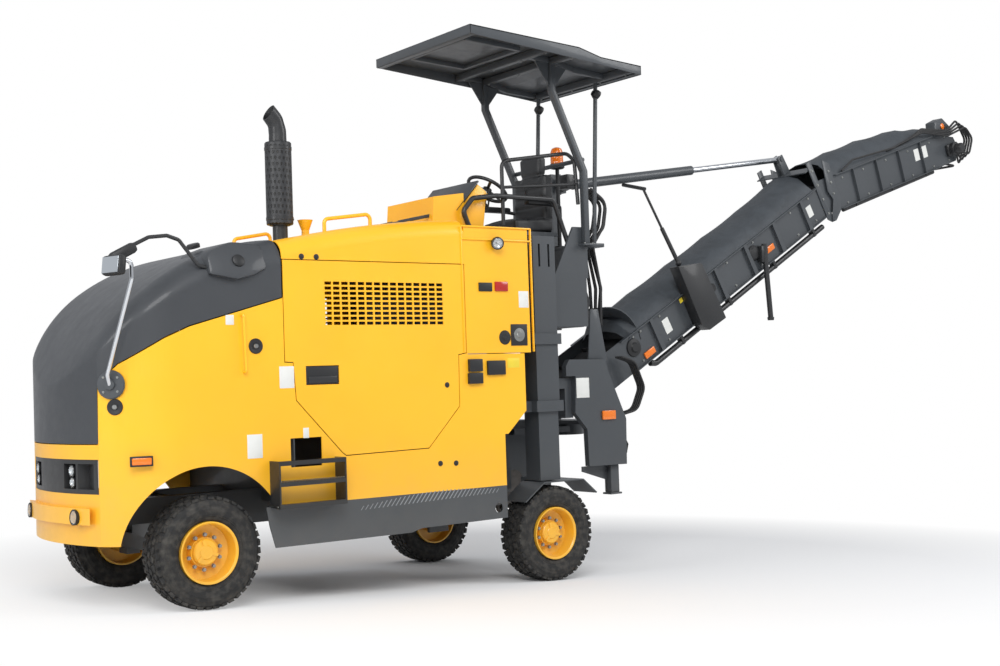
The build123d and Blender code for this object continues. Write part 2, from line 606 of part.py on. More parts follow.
with BuildPart() as roof_frame:
    for y in (POST_LEFT_Y, POST_RIGHT_Y):
        slab([(POST_X - 28, 2380), (POST_X - 28, 3120), (-3120, 3640), (-3120, 3776), (-3050, 3779),
              (-3050, 3640), (POST_X + 28, 3105), (POST_X + 28, 2380)], y - 24, y + 24)
    for y in (400, -330):
        rod_between((-3560, y, 2380), (-3628, y, 3740), 18)
    for x in (-2500, -3085, -3560):
        block(x - 30, x + 30, -488, 838, roof_point(x, 0, 30)[2], roof_point(x, 0, 74)[2])
    for y in (POST_LEFT_Y, POST_RIGHT_Y):
        rib = [(-2000, 34), (-2000, 78.5), (-2900, 136), (-3670, 78.5), (-3670, 34)]
        slab([(x, roof_point(x, 0, z)[2]) for x, z in rib], y - 20, y + 20)
    # cross bar between the posts, and the rear shelf that the thin posts stand on
    rod_y(POST_X - 10, 3050, POST_RIGHT_Y, POST_LEFT_Y, 18)
    for y0, y1 in ((60, PLATE_LEFT_Y + 20), (POST_RIGHT_Y + 24, -290)):
        block(-3600, STAND_REAR_X - 20, y0, y1, 2370, 2400)
keep(roof_frame, "roof_frame")

with BuildPart() as beacon:
    rod_z(-3470, 80, 2400, 3041, 16)
    rod_z(-3470, 80, 3040, 3075, 62)
    rod_z(-3470, 80, 3075, 3220, 56)
keep(beacon, "beacon")

# ---------------------------------------------------------------- hand rails
RAIL_R = 19.0
RAIL_Y = PLATE_LEFT_Y - RAIL_R - SEAT
with BuildPart() as hand_rails:
    bent_tube([(-2860, RAIL_Y, 1765), (-3370, RAIL_Y, 1765), (-3440, RAIL_Y, 1933),
               (-3120, RAIL_Y, 2730), (-2565, RAIL_Y, 2730), (-2345, RAIL_Y, 2700),
               (-2255, RAIL_Y, 2600), (-2310, RAIL_Y, 2475), (-2780, RAIL_Y, 2470)], RAIL_R, 50)
keep(hand_rails, "hand_rails")

# ---------------------------------------------------------------- mirrors on the nose
MIRROR_X = 495.0
MIRROR_Z = 1408.0
NOSE_ARC_R = ((NOSE_SIDE_X - 180) ** 2 + 200 ** 2) / 400
with BuildPart() as mirrors:
    for side in (1, -1):
        arc_y = BODY_HALF - NOSE_ARC_R + (NOSE_ARC_R ** 2 - (MIRROR_X - 180) ** 2) ** 0.5
        outward = Vector(MIRROR_X - 180, side * (arc_y - BODY_HALF + NOSE_ARC_R), 0).normalized()
        base = Vector(MIRROR_X, side * arc_y, MIRROR_Z) + outward * SEAT
        elbow = base + outward * 45
        top = Vector(470, side * 890, 2125)
        rod_between(tuple(base), tuple(base + outward * 22), 52)
        bent_tube([tuple(base + outward * 10), tuple(elbow), tuple(top)], 13, 20)
        rod_between(tuple(top - Vector(0, 0, 4)), (655, side * 925, 2135), 10)
        with Locations((675, side * 925, 2080)):
            Box(44, 170, 170)
keep(mirrors, "mirrors")

# ---------------------------------------------------------------- access step
with BuildPart() as access_step:
    for x in (-905, -430):
        slab([(x, 590), (x, 885), (x + 10, 885), (x + 10, 590)], BODY_HALF, 930)
    for z, y in ((600, 915), (740, 915), (870, 915)):
        block(-905, -420, y - 30, y + 15, z - 14, z + 14)
    block(-905, -420, BODY_HALF, 930, 590, 600)
keep(access_step, "access_step")

# ---------------------------------------------------------------- milling drum
SCRAPER_X = DRUM_X - DRUM_OD / 2 - 60 - 32
SCRAPER_Z = 870.0
with BuildPart() as drum_housing:
    half = DRUM_WIDTH / 2 + 20
    outer_r = DRUM_OD / 2 + 60
    box_outline = [(DRUM_X + outer_r, 440), (DRUM_X + outer_r, 900), (DRUM_X + 250, 1010),
                   (DRUM_X - 250, 1010), (DRUM_X - outer_r, 900), (DRUM_X - outer_r, 440)]
    slab(box_outline, DRUM_Y - half - 12, DRUM_Y + half + 12)
    block(DRUM_X - outer_r + 12, DRUM_X + outer_r - 12, DRUM_Y - half, DRUM_Y + half, 400, 890,
          mode=Mode.SUBTRACT)
    block(DRUM_X - outer_r - 20, DRUM_X - outer_r + 20, DRUM_Y - 200, DRUM_Y + 200, 600, 850,
          mode=Mode.SUBTRACT)
    for y0, y1 in ((DRUM_Y - half - 12, DRUM_Y - half), (DRUM_Y + half, DRUM_Y + half + 12)):
        rod_y(DRUM_X, DRUM_Z, y0 - 1, y1 + 1, 90 + FIT, mode=Mode.SUBTRACT)
    # link to the frame in front
    block(DRUM_X + outer_r - 6, -2700, -330, -250, 560, 680)
    # lugs for the scraper blade
    for y in (DRUM_Y - 180, DRUM_Y + 180):
        block(DRUM_X - outer_r - 50, DRUM_X - outer_r, y - 12, y + 12, 845, 895)
        rod_y(SCRAPER_X, SCRAPER_Z, y - 13, y + 13, 10 + FIT, mode=Mode.SUBTRACT)
keep(drum_housing, "drum_housing")

with BuildPart() as milling_drum:
    rod_y(DRUM_X, DRUM_Z, DRUM_Y - 250, DRUM_Y + 250, DRUM_OD / 2 - 90)
    rod_y(DRUM_X, DRUM_Z, DRUM_Y - 281, DRUM_Y + 281, 90)
    pick_rows = 16
    for index in range(pick_rows * 2):
        turn = index * 67.5
        y = DRUM_Y - 235 + index * 470 / (pick_rows * 2 - 1)
        radial = Vector(cos(radians(turn)), 0, sin(radians(turn)))
        foot = Vector(DRUM_X, y, DRUM_Z) + radial * (DRUM_OD / 2 - 110)
        tip = Vector(DRUM_X, y, DRUM_Z) + radial * (DRUM_OD / 2)
        rod_between(tuple(foot), tuple(foot + radial * 60), 26)
        rod_between(tuple(foot), tuple(tip), 11)
keep(milling_drum, "milling_drum")

# ---------------------------------------------------------------- rear cover beside the conveyor
with BuildPart() as rear_cover:
    cover_outline = [(-3180, 1357), (-3180, 1432), (-3215, 1485), (-3590, 1480), (-3615, 1388),
                     (-3790, 1002), (-3780, 640), (-3385, 647), (-3377, 936), (-3260, 1068), (-3274, 1354)]
    slab(cover_outline, 400, 450)
    block(-3590, PORTAL_X - 110, 180, 400, 1260, 1340)
    block(-3280, -3200, -80, 400, 1030, 1340)
keep(rear_cover, "rear_cover")

with BuildPart() as scraper:
    slab([(SCRAPER_X + 8, 400), (SCRAPER_X + 8, 835), (SCRAPER_X - 8, 835), (SCRAPER_X - 20, 640),
          (SCRAPER_X - 8, 400)], DRUM_Y - 260, DRUM_Y + 260)
    rod_y(SCRAPER_X, SCRAPER_Z, DRUM_Y - 200, DRUM_Y + 200, 10)
    for y in (DRUM_Y - 140, DRUM_Y + 140):
        block(SCRAPER_X - 8, SCRAPER_X + 8, y - 22, y + 22, 830, 885)
keep(scraper, "scraper")

# ---------------------------------------------------------------- conveyor
slope = radians(CONV_SLOPE)
along = Vector(-cos(slope), 0, sin(slope))
normal = Vector(sin(slope), 0, cos(slope))
FOLD = Vector(LUFF_X, 0, LUFF_Z) + along * LOWER_LENGTH
upper_slope = radians(CONV_UPPER_SLOPE)
upper_along = Vector(-cos(upper_slope), 0, sin(upper_slope))
upper_normal = Vector(sin(upper_slope), 0, cos(upper_slope))


def section_points(origin, direction, up, table):
    """Points given along and above a conveyor section, as x, z."""
    return [((origin + direction * s + up * h).X, (origin + direction * s + up * h).Z) for s, h in table]


foot = Vector(LUFF_X, 0, LUFF_Z)
LOW_H = (-150.0, 235.0, 470.0)   # lower section: bottom edge, top edge and cover ridge
UP_H = (-115.0, 290.0, 430.0)    # the same for the upper section
FORK_Y = CONV_WIDTH / 2 + CLEAR
SLEW_PLATE_Z = 960.0
eye = foot + along * (LOWER_LENGTH - 60) + normal * (LOW_H[2] + 62)
DRUM_REAR_X = DRUM_X - DRUM_OD / 2 - 60
HOUSING_LEFT_Y = DRUM_Y + DRUM_WIDTH / 2 + 32
with BuildPart() as slew_bracket:
    # bearing housing, carried by an arm that lies against the drum box's rear and left walls
    with BuildSketch(Plane.XY.offset(898)):
        with BuildLine():
            Polyline((SLEW_X, CONV_Y - 110), (DRUM_REAR_X, CONV_Y - 110), (DRUM_REAR_X, HOUSING_LEFT_Y),
                     (DRUM_REAR_X + 400, HOUSING_LEFT_Y), (DRUM_REAR_X + 400, CONV_Y + 60),
                     (DRUM_REAR_X + 100, CONV_Y + 110), (SLEW_X, CONV_Y + 110), close=True)
        make_face()
    extrude(amount=46)
    with BuildSketch(Plane.XY.offset(872)):
        with Locations((SLEW_X, CONV_Y)):
            Circle(130)
            Circle(40 + FIT, mode=Mode.SUBTRACT)
    extrude(amount=SLEW_PLATE_Z - 872)
    rod_z(SLEW_X, CONV_Y, 871, SLEW_PLATE_Z + 1, 40 + FIT, mode=Mode.SUBTRACT)
keep(slew_bracket, "slew_bracket")

with BuildPart() as conveyor_slew:
    # swivel pin and luffing fork
    rod_z(SLEW_X, CONV_Y, 880, SLEW_PLATE_Z + 10, 40)
    block(LUFF_X - 120, SLEW_X + 100, CONV_Y - FORK_Y - 24, CONV_Y + FORK_Y + 24,
          SLEW_PLATE_Z + 2, SLEW_PLATE_Z + 32)
    for side in (1, -1):
        y0 = CONV_Y + side * FORK_Y
        slab([(LUFF_X - 110, SLEW_PLATE_Z + 20), (LUFF_X - 60, LUFF_Z + 60), (LUFF_X + 60, LUFF_Z + 60),
              (SLEW_X + 100, SLEW_PLATE_Z + 20)], y0, y0 + side * 24)
        rod_y(LUFF_X, LUFF_Z, CONV_Y + side * (CONV_WIDTH / 2 - 20), y0 + side * 24, 30 - FIT)
keep(conveyor_slew, "conveyor_slew")


def section_cover(origin, direction, table, s0, s1):
    """A folded sheet cover along a conveyor section: its cross outline, across and above."""
    start = origin + direction * s0
    with BuildSketch(Plane(origin=(start.X, CONV_Y, start.Z), x_dir=(0, -1, 0), z_dir=direction)) as cross:
        with BuildLine():
            Polyline(*table, close=True)
        make_face()
    extrude(cross.sketch, amount=s1 - s0)


PIN_DROP = 30.0             # the fold pin lies this far below the side plates
fold_pin = foot + along * (LOWER_LENGTH + 3) + normal * (LOW_H[0] - PIN_DROP)
half_width = CONV_WIDTH / 2
with BuildPart() as conveyor_lower:
    for side in (1, -1):
        y1 = CONV_Y + side * half_width
        slab(section_points(foot, along, normal, [(-60, LOW_H[0]), (-150, 0), (-150, LOW_H[1]),
             (LOWER_LENGTH, LOW_H[1]), (LOWER_LENGTH, LOW_H[0])]), y1 - side * 8, y1)
        rod_y(LUFF_X, LUFF_Z, y1 + side, y1 - side * 22, 30, mode=Mode.SUBTRACT)
    for s in range(260, 3300, 480):
        slab(section_points(foot, along, normal, [(s, LOW_H[0]), (s, LOW_H[0] + 40),
             (s + 40, LOW_H[0] + 40), (s + 40, LOW_H[0])]), CONV_Y - half_width, CONV_Y + half_width)
    # ridged cover
    section_cover(foot, along, [
        (-half_width, LOW_H[1] - 8), (-half_width, LOW_H[1]), (-60, LOW_H[2]), (60, LOW_H[2]),
        (half_width, LOW_H[1]), (half_width, LOW_H[1] - 8), (56, LOW_H[2] - 8), (-56, LOW_H[2] - 8)],
        420, LOWER_LENGTH)
    # joint plates with the fold pins
    for side in (1, -1):
        y1 = CONV_Y + side * half_width
        slab(section_points(foot, along, normal, [
            (LOWER_LENGTH - 70, LOW_H[0]), (LOWER_LENGTH - 70, LOW_H[2] - 30), (LOWER_LENGTH - 2, LOW_H[2] - 30),
            (LOWER_LENGTH - 2, LOW_H[0] + 60), (LOWER_LENGTH + 24, LOW_H[0]),
            (LOWER_LENGTH + 24, LOW_H[0] - PIN_DROP - 20), (LOWER_LENGTH - 20, LOW_H[0] - PIN_DROP - 20)]),
            y1, y1 + side * 12)
        rod_y(fold_pin.X, fold_pin.Z, y1, y1 + side * 30, 14)
    # lugs and pin for the luffing strut
    for side in (1, -1):
        slab(section_points(foot, along, normal, [
            (LOWER_LENGTH - 110, LOW_H[2] - 6), (LOWER_LENGTH - 95, LOW_H[2] + 95),
            (LOWER_LENGTH - 25, LOW_H[2] + 95), (LOWER_LENGTH - 10, LOW_H[2] - 6)]),
            CONV_Y + side * 26, CONV_Y + side * 40)
        rod_y(eye.X, eye.Z, CONV_Y + side * 40, CONV_Y + side * 50, 22)
keep(conveyor_lower, "conveyor_lower")

UPPER_LENGTH = 2500.0
fold_turn = radians(CONV_SLOPE - CONV_UPPER_SLOPE)


def fold_start(h):
    """Where the upper section starts at height h, clear of the lower section's end."""
    return (CLEAR - sin(fold_turn) * h) / cos(fold_turn)


pin_s = (fold_pin - FOLD).dot(upper_along)
pin_h = (fold_pin - FOLD).dot(upper_normal)
with BuildPart() as conveyor_upper:
    for side in (1, -1):
        y1 = CONV_Y + side * half_width
        slab(section_points(FOLD, upper_along, upper_normal, [
            (fold_start(UP_H[0]), UP_H[0]), (fold_start(UP_H[1]), UP_H[1]),
            (UPPER_LENGTH, UP_H[1] - 60), (UPPER_LENGTH, UP_H[0])]), y1 - side * 8, y1)
        # ear on the fold pin, stood off from the side plate
        slab(section_points(FOLD, upper_along, upper_normal, [
            (pin_s - 24, pin_h + 14), (pin_s - 24, pin_h - 20), (pin_s + 24, pin_h - 20),
            (170, UP_H[0]), (170, UP_H[0] + 120), (90, UP_H[0] + 120)]), y1 + side * 14, y1 + side * 26)
        slab(section_points(FOLD, upper_along, upper_normal, [
            (100, UP_H[0]), (100, UP_H[0] + 110), (160, UP_H[0] + 110), (160, UP_H[0])]),
            y1 - side, y1 + side * 16)
        rod_y(fold_pin.X, fold_pin.Z, y1 + side * 13, y1 + side * 27, 14 + FIT, mode=Mode.SUBTRACT)
    for s in range(260, 2400, 480):
        slab(section_points(FOLD, upper_along, upper_normal, [(s, UP_H[0]), (s, UP_H[0] + 30),
             (s + 40, UP_H[0] + 30), (s + 40, UP_H[0])]), CONV_Y - half_width, CONV_Y + half_width)
    section_cover(FOLD, upper_along, [
        (-half_width, UP_H[1] - 60), (-half_width, UP_H[1] - 52), (-100, UP_H[2]), (100, UP_H[2]),
        (half_width, UP_H[1] - 52), (half_width, UP_H[1] - 60), (96, UP_H[2] - 8), (-96, UP_H[2] - 8)],
        120, 1750)
keep(conveyor_upper, "conveyor_upper")

# ---------------------------------------------------------------- tower and luffing strut
STRUT_X = -3800.0
STRUT_Z = 2962.0
TOWER_X = -3600.0           # front face of the tower's post
with BuildPart() as conveyor_tower:
    block(TOWER_X - 60, STAND_REAR_X - 20, TOWER_Y - 40, TOWER_Y + 40, FLOOR_Z - 60, FLOOR_Z)
    block(TOWER_X - 60, TOWER_X, TOWER_Y - 40, TOWER_Y + 40, FLOOR_Z - 60, 3040)
    for z0 in (2890, 3010):
        block(SLEW_X - 40, TOWER_X - 60, TOWER_Y - 40, TOWER_Y + 40, z0, z0 + 30)
        rod_z(SLEW_X, TOWER_Y, z0 - 1, z0 + 31, 16 + FIT, mode=Mode.SUBTRACT)
keep(conveyor_tower, "conveyor_tower")

with BuildPart() as strut_swivel:
    rod_z(SLEW_X, TOWER_Y, 2880, 3050, 16)
    block(SLEW_X - 34, SLEW_X + 34, TOWER_Y - 34, TOWER_Y + 34, 2925, 3005)
    for side in (1, -1):
        block(STRUT_X - 34, SLEW_X - 20, TOWER_Y + side * 26, TOWER_Y + side * 40, 2930, 2996)
    rod_y(STRUT_X, STRUT_Z, TOWER_Y - 40, TOWER_Y + 40, 14)
keep(strut_swivel, "strut_swivel")

strut_start = Vector(STRUT_X, TOWER_Y, STRUT_Z)
strut_end = Vector(eye.X, TOWER_Y, eye.Z)
strut_dir = (strut_end - strut_start).normalized()
strut_length = (strut_end - strut_start).length
TUBE_LENGTH = 1500.0
with BuildPart() as strut_tube:
    rod_between(tuple(strut_start + strut_dir * 64), tuple(strut_start + strut_dir * TUBE_LENGTH), 42)
    rod_y(STRUT_X, STRUT_Z, TOWER_Y - 22, TOWER_Y + 22, 32)
    rod_between(tuple(strut_start + strut_dir * 20), tuple(strut_start + strut_dir * 66), 20)
    rod_between(tuple(strut_start + strut_dir * 90), tuple(strut_start + strut_dir * (TUBE_LENGTH + 1)),
                26 + FIT, mode=Mode.SUBTRACT)
    rod_y(STRUT_X, STRUT_Z, TOWER_Y - 23, TOWER_Y + 23, 14 + FIT, mode=Mode.SUBTRACT)
keep(strut_tube, "strut_tube")

with BuildPart() as strut_rod:
    rod_between(tuple(strut_start + strut_dir * 400), tuple(strut_end - strut_dir * 30), 26)
    rod_y(eye.X, eye.Z, TOWER_Y - 20, TOWER_Y + 20, 34)
keep(strut_rod, "strut_rod")

# ---------------------------------------------------------------- stance
# Everything turns nose-down about the front axle, so that all four wheels stand on z = 0,
# and the model is then centred over its own length and width.
nose_down = (Location((0, 0, AXLE_Z)) * Location((0, 0, 0), (0, NOSE_DOWN, 0))
             * Location((0, 0, -AXLE_Z)))
placed = [piece.moved(nose_down) for piece in pieces]
bounds = Compound(children=[Compound(piece.wrapped) for piece in placed]).bounding_box()
centre = Location((-(bounds.min.X + bounds.max.X) / 2, -(bounds.min.Y + bounds.max.Y) / 2, -bounds.min.Z))
os.makedirs("parts", exist_ok=True)
for piece, stood in zip(pieces, placed):
    stood = stood.moved(centre)
    stood.label = piece.label
    export_step(stood, f"parts/{piece.label}.step")
print("size", bounds.size, "centre", centre)
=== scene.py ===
import bmesh
import bpy
import json
from math import atan2, cos, pi, radians, sin, sqrt
from mathutils import Matrix, Vector


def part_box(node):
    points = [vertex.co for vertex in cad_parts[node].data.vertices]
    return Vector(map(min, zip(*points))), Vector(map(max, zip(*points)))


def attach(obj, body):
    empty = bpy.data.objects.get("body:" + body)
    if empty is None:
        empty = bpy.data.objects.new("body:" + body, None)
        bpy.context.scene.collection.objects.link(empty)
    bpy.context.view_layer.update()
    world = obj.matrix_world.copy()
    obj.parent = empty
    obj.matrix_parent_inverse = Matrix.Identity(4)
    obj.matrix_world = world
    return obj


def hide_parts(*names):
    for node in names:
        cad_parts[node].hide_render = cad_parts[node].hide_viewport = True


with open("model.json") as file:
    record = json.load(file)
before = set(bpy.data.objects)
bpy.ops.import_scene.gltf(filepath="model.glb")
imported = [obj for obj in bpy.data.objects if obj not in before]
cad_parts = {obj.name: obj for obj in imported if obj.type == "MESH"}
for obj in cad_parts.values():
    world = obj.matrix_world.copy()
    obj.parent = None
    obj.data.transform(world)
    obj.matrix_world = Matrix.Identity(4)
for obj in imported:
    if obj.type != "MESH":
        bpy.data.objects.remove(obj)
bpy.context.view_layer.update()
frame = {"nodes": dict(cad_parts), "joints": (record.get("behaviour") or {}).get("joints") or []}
SAME_PLACE = 0.00002          # corners nearer than this, in metres, are one

# ---------------------------------------------------------------- studio
# A plain white studio: one broad soft lamp over the left shoulder, weaker ones in front and
# behind, and an even sky. The floor takes a soft shadow and runs out to white.


def linear(hex_colour):
    """An sRGB hex colour as the linear colour that a shader takes."""
    channels = [int(hex_colour[i:i + 2], 16) / 255 for i in (1, 3, 5)]
    return [c / 12.92 if c <= 0.04045 else ((c + 0.055) / 1.055) ** 2.4 for c in channels] + [1.0]


def node(tree, kind, settings=(), links=()):
    """Adds one node to a material, with its settings and the sources of its inputs."""
    made = tree.nodes.new(kind)
    for name, value in dict(settings).items():
        if isinstance(name, str) and hasattr(made, name):
            setattr(made, name, value)
        else:
            made.inputs[name].default_value = value
    for name, source in dict(links).items():
        tree.links.new(source, made.inputs[name])
    return made


def new_material(name):
    """An empty node material and its node tree."""
    material = bpy.data.materials.new(name)
    material.use_nodes = True
    material.node_tree.nodes.clear()
    return material, material.node_tree


def object_point(tree):
    """The shaded point in the object's own metres."""
    return node(tree, "ShaderNodeTexCoord").outputs["Object"]


def noise(tree, at, scale, detail=2.0, **settings):
    """Cloud noise, with a scale in cycles a metre."""
    return node(tree, "ShaderNodeTexNoise", {"Scale": scale, "Detail": detail, **settings},
        {"Vector": at}).outputs[0]


def arithmetic(tree, operation, source, *rest):
    """One sum on a value: the rest are numbers or sources."""
    settings = {i: value for i, value in enumerate(rest, 1) if isinstance(value, float)}
    links = {i: value for i, value in enumerate(rest, 1) if not isinstance(value, float)}
    return node(tree, "ShaderNodeMath", {"operation": operation, **settings}, {0: source, **links}).outputs[0]


def span(tree, value, low, high, to_low=0.0, to_high=1.0):
    """A value between low and high, taken over to another range."""
    limits = {"From Min": low, "From Max": high, "To Min": to_low, "To Max": to_high}
    return node(tree, "ShaderNodeMapRange", limits, {"Value": value}).outputs[0]


def blend(tree, share, first, second):
    """A share of the way from one hex colour to another."""
    return node(tree, "ShaderNodeMix", {"data_type": "RGBA", 6: linear(first), 7: linear(second)},
        {0: share}).outputs[2]


def relief(tree, height, strength, distance, **settings):
    """Fine relief: the shading turns as if the face stood up by a distance."""
    return node(tree, "ShaderNodeBump", {"Strength": strength, "Distance": distance, **settings},
        {"Height": height}).outputs[0]


def surface(tree, settings, links):
    """Closes a material with its surface shader."""
    shader = node(tree, "ShaderNodeBsdfPrincipled", settings, links)
    node(tree, "ShaderNodeOutputMaterial", {}, {"Surface": shader.outputs[0]})


studio = bpy.context.scene
studio.view_settings.view_transform = "Standard"

sky = bpy.data.worlds.new("studio_sky")
sky.use_nodes = True
sky.node_tree.nodes.clear()
sky_seen = node(sky.node_tree, "ShaderNodeLightPath")
sky_shows = node(sky.node_tree, "ShaderNodeMath", {"operation": "MAXIMUM"},
    {0: sky_seen.outputs["Is Camera Ray"], 1: sky_seen.outputs["Is Transmission Ray"]})
sky_light = node(sky.node_tree, "ShaderNodeBackground", {"Color": linear("#F4F6FA"), "Strength": 0.62})
sky_white = node(sky.node_tree, "ShaderNodeBackground", {"Color": (1, 1, 1, 1), "Strength": 1.0})
sky_mix = node(sky.node_tree, "ShaderNodeMixShader", {}, {0: sky_shows.outputs[0], 1: sky_light.outputs[0],
    2: sky_white.outputs[0]})
node(sky.node_tree, "ShaderNodeOutputWorld", {}, {"Surface": sky_mix.outputs[0]})
studio.world = sky

front_tyre = [Vector(corner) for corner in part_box("tyre_front_left")]
other_tyre = [Vector(corner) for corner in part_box("tyre_front_right")]
AXLE = (front_tyre[0] + front_tyre[1]) / 2
AXLE.y = (front_tyre[1].y + other_tyre[0].y) / 2
ground = Vector((AXLE.x, AXLE.y, 0.0))
FLOOR_HALF = 60.0
FLOOR_GREY, FLOOR_WHITE = 3.0, 6.2      # metres out: the floor starts to fade, and is white

floor_mesh = bmesh.new()
bmesh.ops.create_grid(floor_mesh, x_segments=1, y_segments=1, size=FLOOR_HALF)
floor_data = bpy.data.meshes.new("studio_floor")
floor_mesh.to_mesh(floor_data)
floor_mesh.free()
studio_floor = bpy.data.objects.new("studio_floor", floor_data)
studio.collection.objects.link(studio_floor)
floor_paint, tree = new_material("studio_floor_paint")      # matte pale grey, pure white far out
place = node(tree, "ShaderNodeTexCoord")
away = node(tree, "ShaderNodeVectorMath", {"operation": "LENGTH"}, {0: place.outputs["Object"]})
fade = node(tree, "ShaderNodeMapRange", {"From Min": FLOOR_GREY, "From Max": FLOOR_WHITE},
    {"Value": away.outputs["Value"]})
seen = node(tree, "ShaderNodeLightPath")
white_out = node(tree, "ShaderNodeMath", {"operation": "MULTIPLY"},
    {0: fade.outputs[0], 1: seen.outputs["Is Camera Ray"]})
matte = node(tree, "ShaderNodeBsdfDiffuse", {"Color": linear("#EDEDED")})
glow = node(tree, "ShaderNodeEmission", {"Color": (1, 1, 1, 1), "Strength": 1.0})
shade = node(tree, "ShaderNodeMixShader", {}, {0: white_out.outputs[0], 1: matte.outputs[0],
    2: glow.outputs[0]})
node(tree, "ShaderNodeOutputMaterial", {}, {"Surface": shade.outputs[0]})
floor_data.materials.append(floor_paint)

LIT_AT = Vector((-1.5, 0, 1.2))         # the lamps face the middle of the machine
for lamp_name, place_at, size, watts in (("key_softbox", (4.0, 9.0, 8.5), 7.0, 860),
        ("front_softbox", (9.0, 2.0, 5.0), 5.0, 330), ("rear_softbox", (-9.0, 6.0, 7.0), 5.0, 300)):
    softbox = bpy.data.lights.new(lamp_name, "AREA")
    softbox.shape = "DISK"
    softbox.size = size
    softbox.energy = watts
    holder = bpy.data.objects.new(lamp_name, softbox)
    holder.location = ground + Vector(place_at)
    holder.rotation_euler = (LIT_AT - Vector(place_at)).to_track_quat("-Z", "Y").to_euler()
    studio.collection.objects.link(holder)

# The camera stands low in front of the left front wheel, a lens of about 49 mm.
LENS_MM = 49.43
CAMERA_AT = Vector((3.71, 8.623, 1.17))
YAW, PITCH, ROLL = radians(-127.11), radians(3.69), radians(0.52)
camera_data = bpy.data.cameras.new("studio_camera")
camera_data.lens = LENS_MM
camera_data.sensor_width = 36.0
camera_data.clip_end = 300.0
camera = bpy.data.objects.new("studio_camera", camera_data)
studio.collection.objects.link(camera)
ahead = Vector((cos(YAW) * cos(PITCH), sin(YAW) * cos(PITCH), sin(PITCH)))
level_right = Vector((sin(YAW), -cos(YAW), 0))
level_up = level_right.cross(ahead)
right = cos(ROLL) * level_right + sin(ROLL) * level_up
up = -sin(ROLL) * level_right + cos(ROLL) * level_up
camera.matrix_world = Matrix.Translation(ground + CAMERA_AT) @ Matrix((right, up, -ahead)).transposed().to_4x4()
studio.camera = camera

# ---------------------------------------------------------------- yellow bodywork
# Pressed and folded steel sheet with two-pack enamel sprayed over primer: a smooth, glossy coat
# with a faint orange peel, a little road dust low down and dull patches where it was wiped.


def dress(name, material):
    """Gives a CAD piece its finish."""
    for held in frame["nodes"][name].material_slots:
        held.material = material


def enamel(name, colour, worn, dust, gloss, dust_height):
    """Sprayed enamel: colour drift in metre-wide patches, orange peel 4 mm wide, dust towards the ground."""
    material, tree = new_material(name)
    at = object_point(tree)
    drift = span(tree, noise(tree, at, 1.3, 3.0), 0.35, 0.7, 0.0, 0.55)
    base = blend(tree, drift, colour, worn)
    height = node(tree, "ShaderNodeSeparateXYZ", {}, {0: at}).outputs["Z"]
    low = span(tree, height, dust_height, 0.2, 0.0, 0.55)
    cloud = noise(tree, at, 9.0, 6.0, Roughness=0.65)
    grime = arithmetic(tree, "MULTIPLY", low, cloud)
    coat = node(tree, "ShaderNodeMix", {"data_type": "RGBA", 7: linear(dust)}, {0: grime, 6: base})
    dull = span(tree, cloud, 0.3, 0.75, gloss, gloss + 0.16)
    peel = relief(tree, noise(tree, at, 240.0, 1.0), 0.05, 0.001)
    surface(tree, {"Coat Weight": 0.25, "Coat Roughness": 0.12, "IOR": 1.5}, {"Base Color": coat.outputs[2],
        "Roughness": dull, "Normal": peel})
    return material


# The yellow drifts warmer in patches; the greys are flatter and take more dust; the black is deepest.
yellow_enamel = enamel("yellow_two_pack_enamel", "#F9B91E", "#F3AE1A", "#B89A5E", 0.3, 1.1)
grey_enamel = enamel("anthracite_enamel", "#3F4347", "#373B3F", "#66635C", 0.42, 1.0)
dark_enamel = enamel("charcoal_enamel", "#36393D", "#303337", "#5A5852", 0.46, 0.9)
black_enamel = enamel("black_enamel", "#1B1C1E", "#202123", "#4A4843", 0.45, 0.9)

for name in ("door_left", "door_right", "top_cover", "rear_cabinet", "dash_console", "grab_rails"):
    dress(name, yellow_enamel)
for name in ("chassis_frame", "front_axle", "knuckle_left", "knuckle_right", "drum_housing", "slew_bracket",
        "rear_cover", "conveyor_slew", "conveyor_tower", "strut_swivel", "strut_tube", "leg_guides", "leg_left",
        "leg_right", "platform", "seat_frame", "scraper"):
    dress(name, grey_enamel)
for name in ("access_step", "steering_wheel", "hand_rails", "engine_block"):
    dress(name, black_enamel)
for name in frame["nodes"]:
    if name.startswith("rim_"):
        dress(name, yellow_enamel)

# ---------------------------------------------------------------- nose
# The engine hood is moulded sheet in charcoal over a yellow bumper and side panels. The nose face
# is a shallow curve from side to side, and the hood falls in one long sweep to it.
SLEW_AXIS = Vector([joint for joint in frame["joints"] if joint["name"] == "conveyor_slewing"][0]["axis"])
TILT = atan2(SLEW_AXIS.x, SLEW_AXIS.z)      # the machine is parked nose down
WHEEL_R = AXLE.z
CHASSIS = Matrix.Translation(AXLE) @ Matrix.Rotation(TILT, 4, "Y") @ Matrix.Translation((0, 0, -WHEEL_R))
TO_CHASSIS = CHASSIS.inverted()
BODY_HALF = 0.8             # half the width across the side panels
TURN_X = 0.18               # the sides run straight behind this


def finished(name, shape, finishes, body, sharp=32.0, placed=False):
    """A piece from a shape in the chassis's own frame: in place, faces out, smooth up to an angle."""
    if not placed:
        shape.transform(CHASSIS)
    bmesh.ops.recalc_face_normals(shape, faces=shape.faces[:])
    for face in shape.faces:
        face.smooth = True
    for edge in shape.edges:
        edge.smooth = len(edge.link_faces) == 2 and edge.calc_face_angle(0.0) < radians(sharp)
    data = bpy.data.meshes.new(name)
    shape.to_mesh(data)
    shape.free()
    for finish in finishes if isinstance(finishes, (list, tuple)) else [finishes]:
        data.materials.append(finish)
    made = bpy.data.objects.new(name, data)
    studio.collection.objects.link(made)
    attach(made, body)
    return made


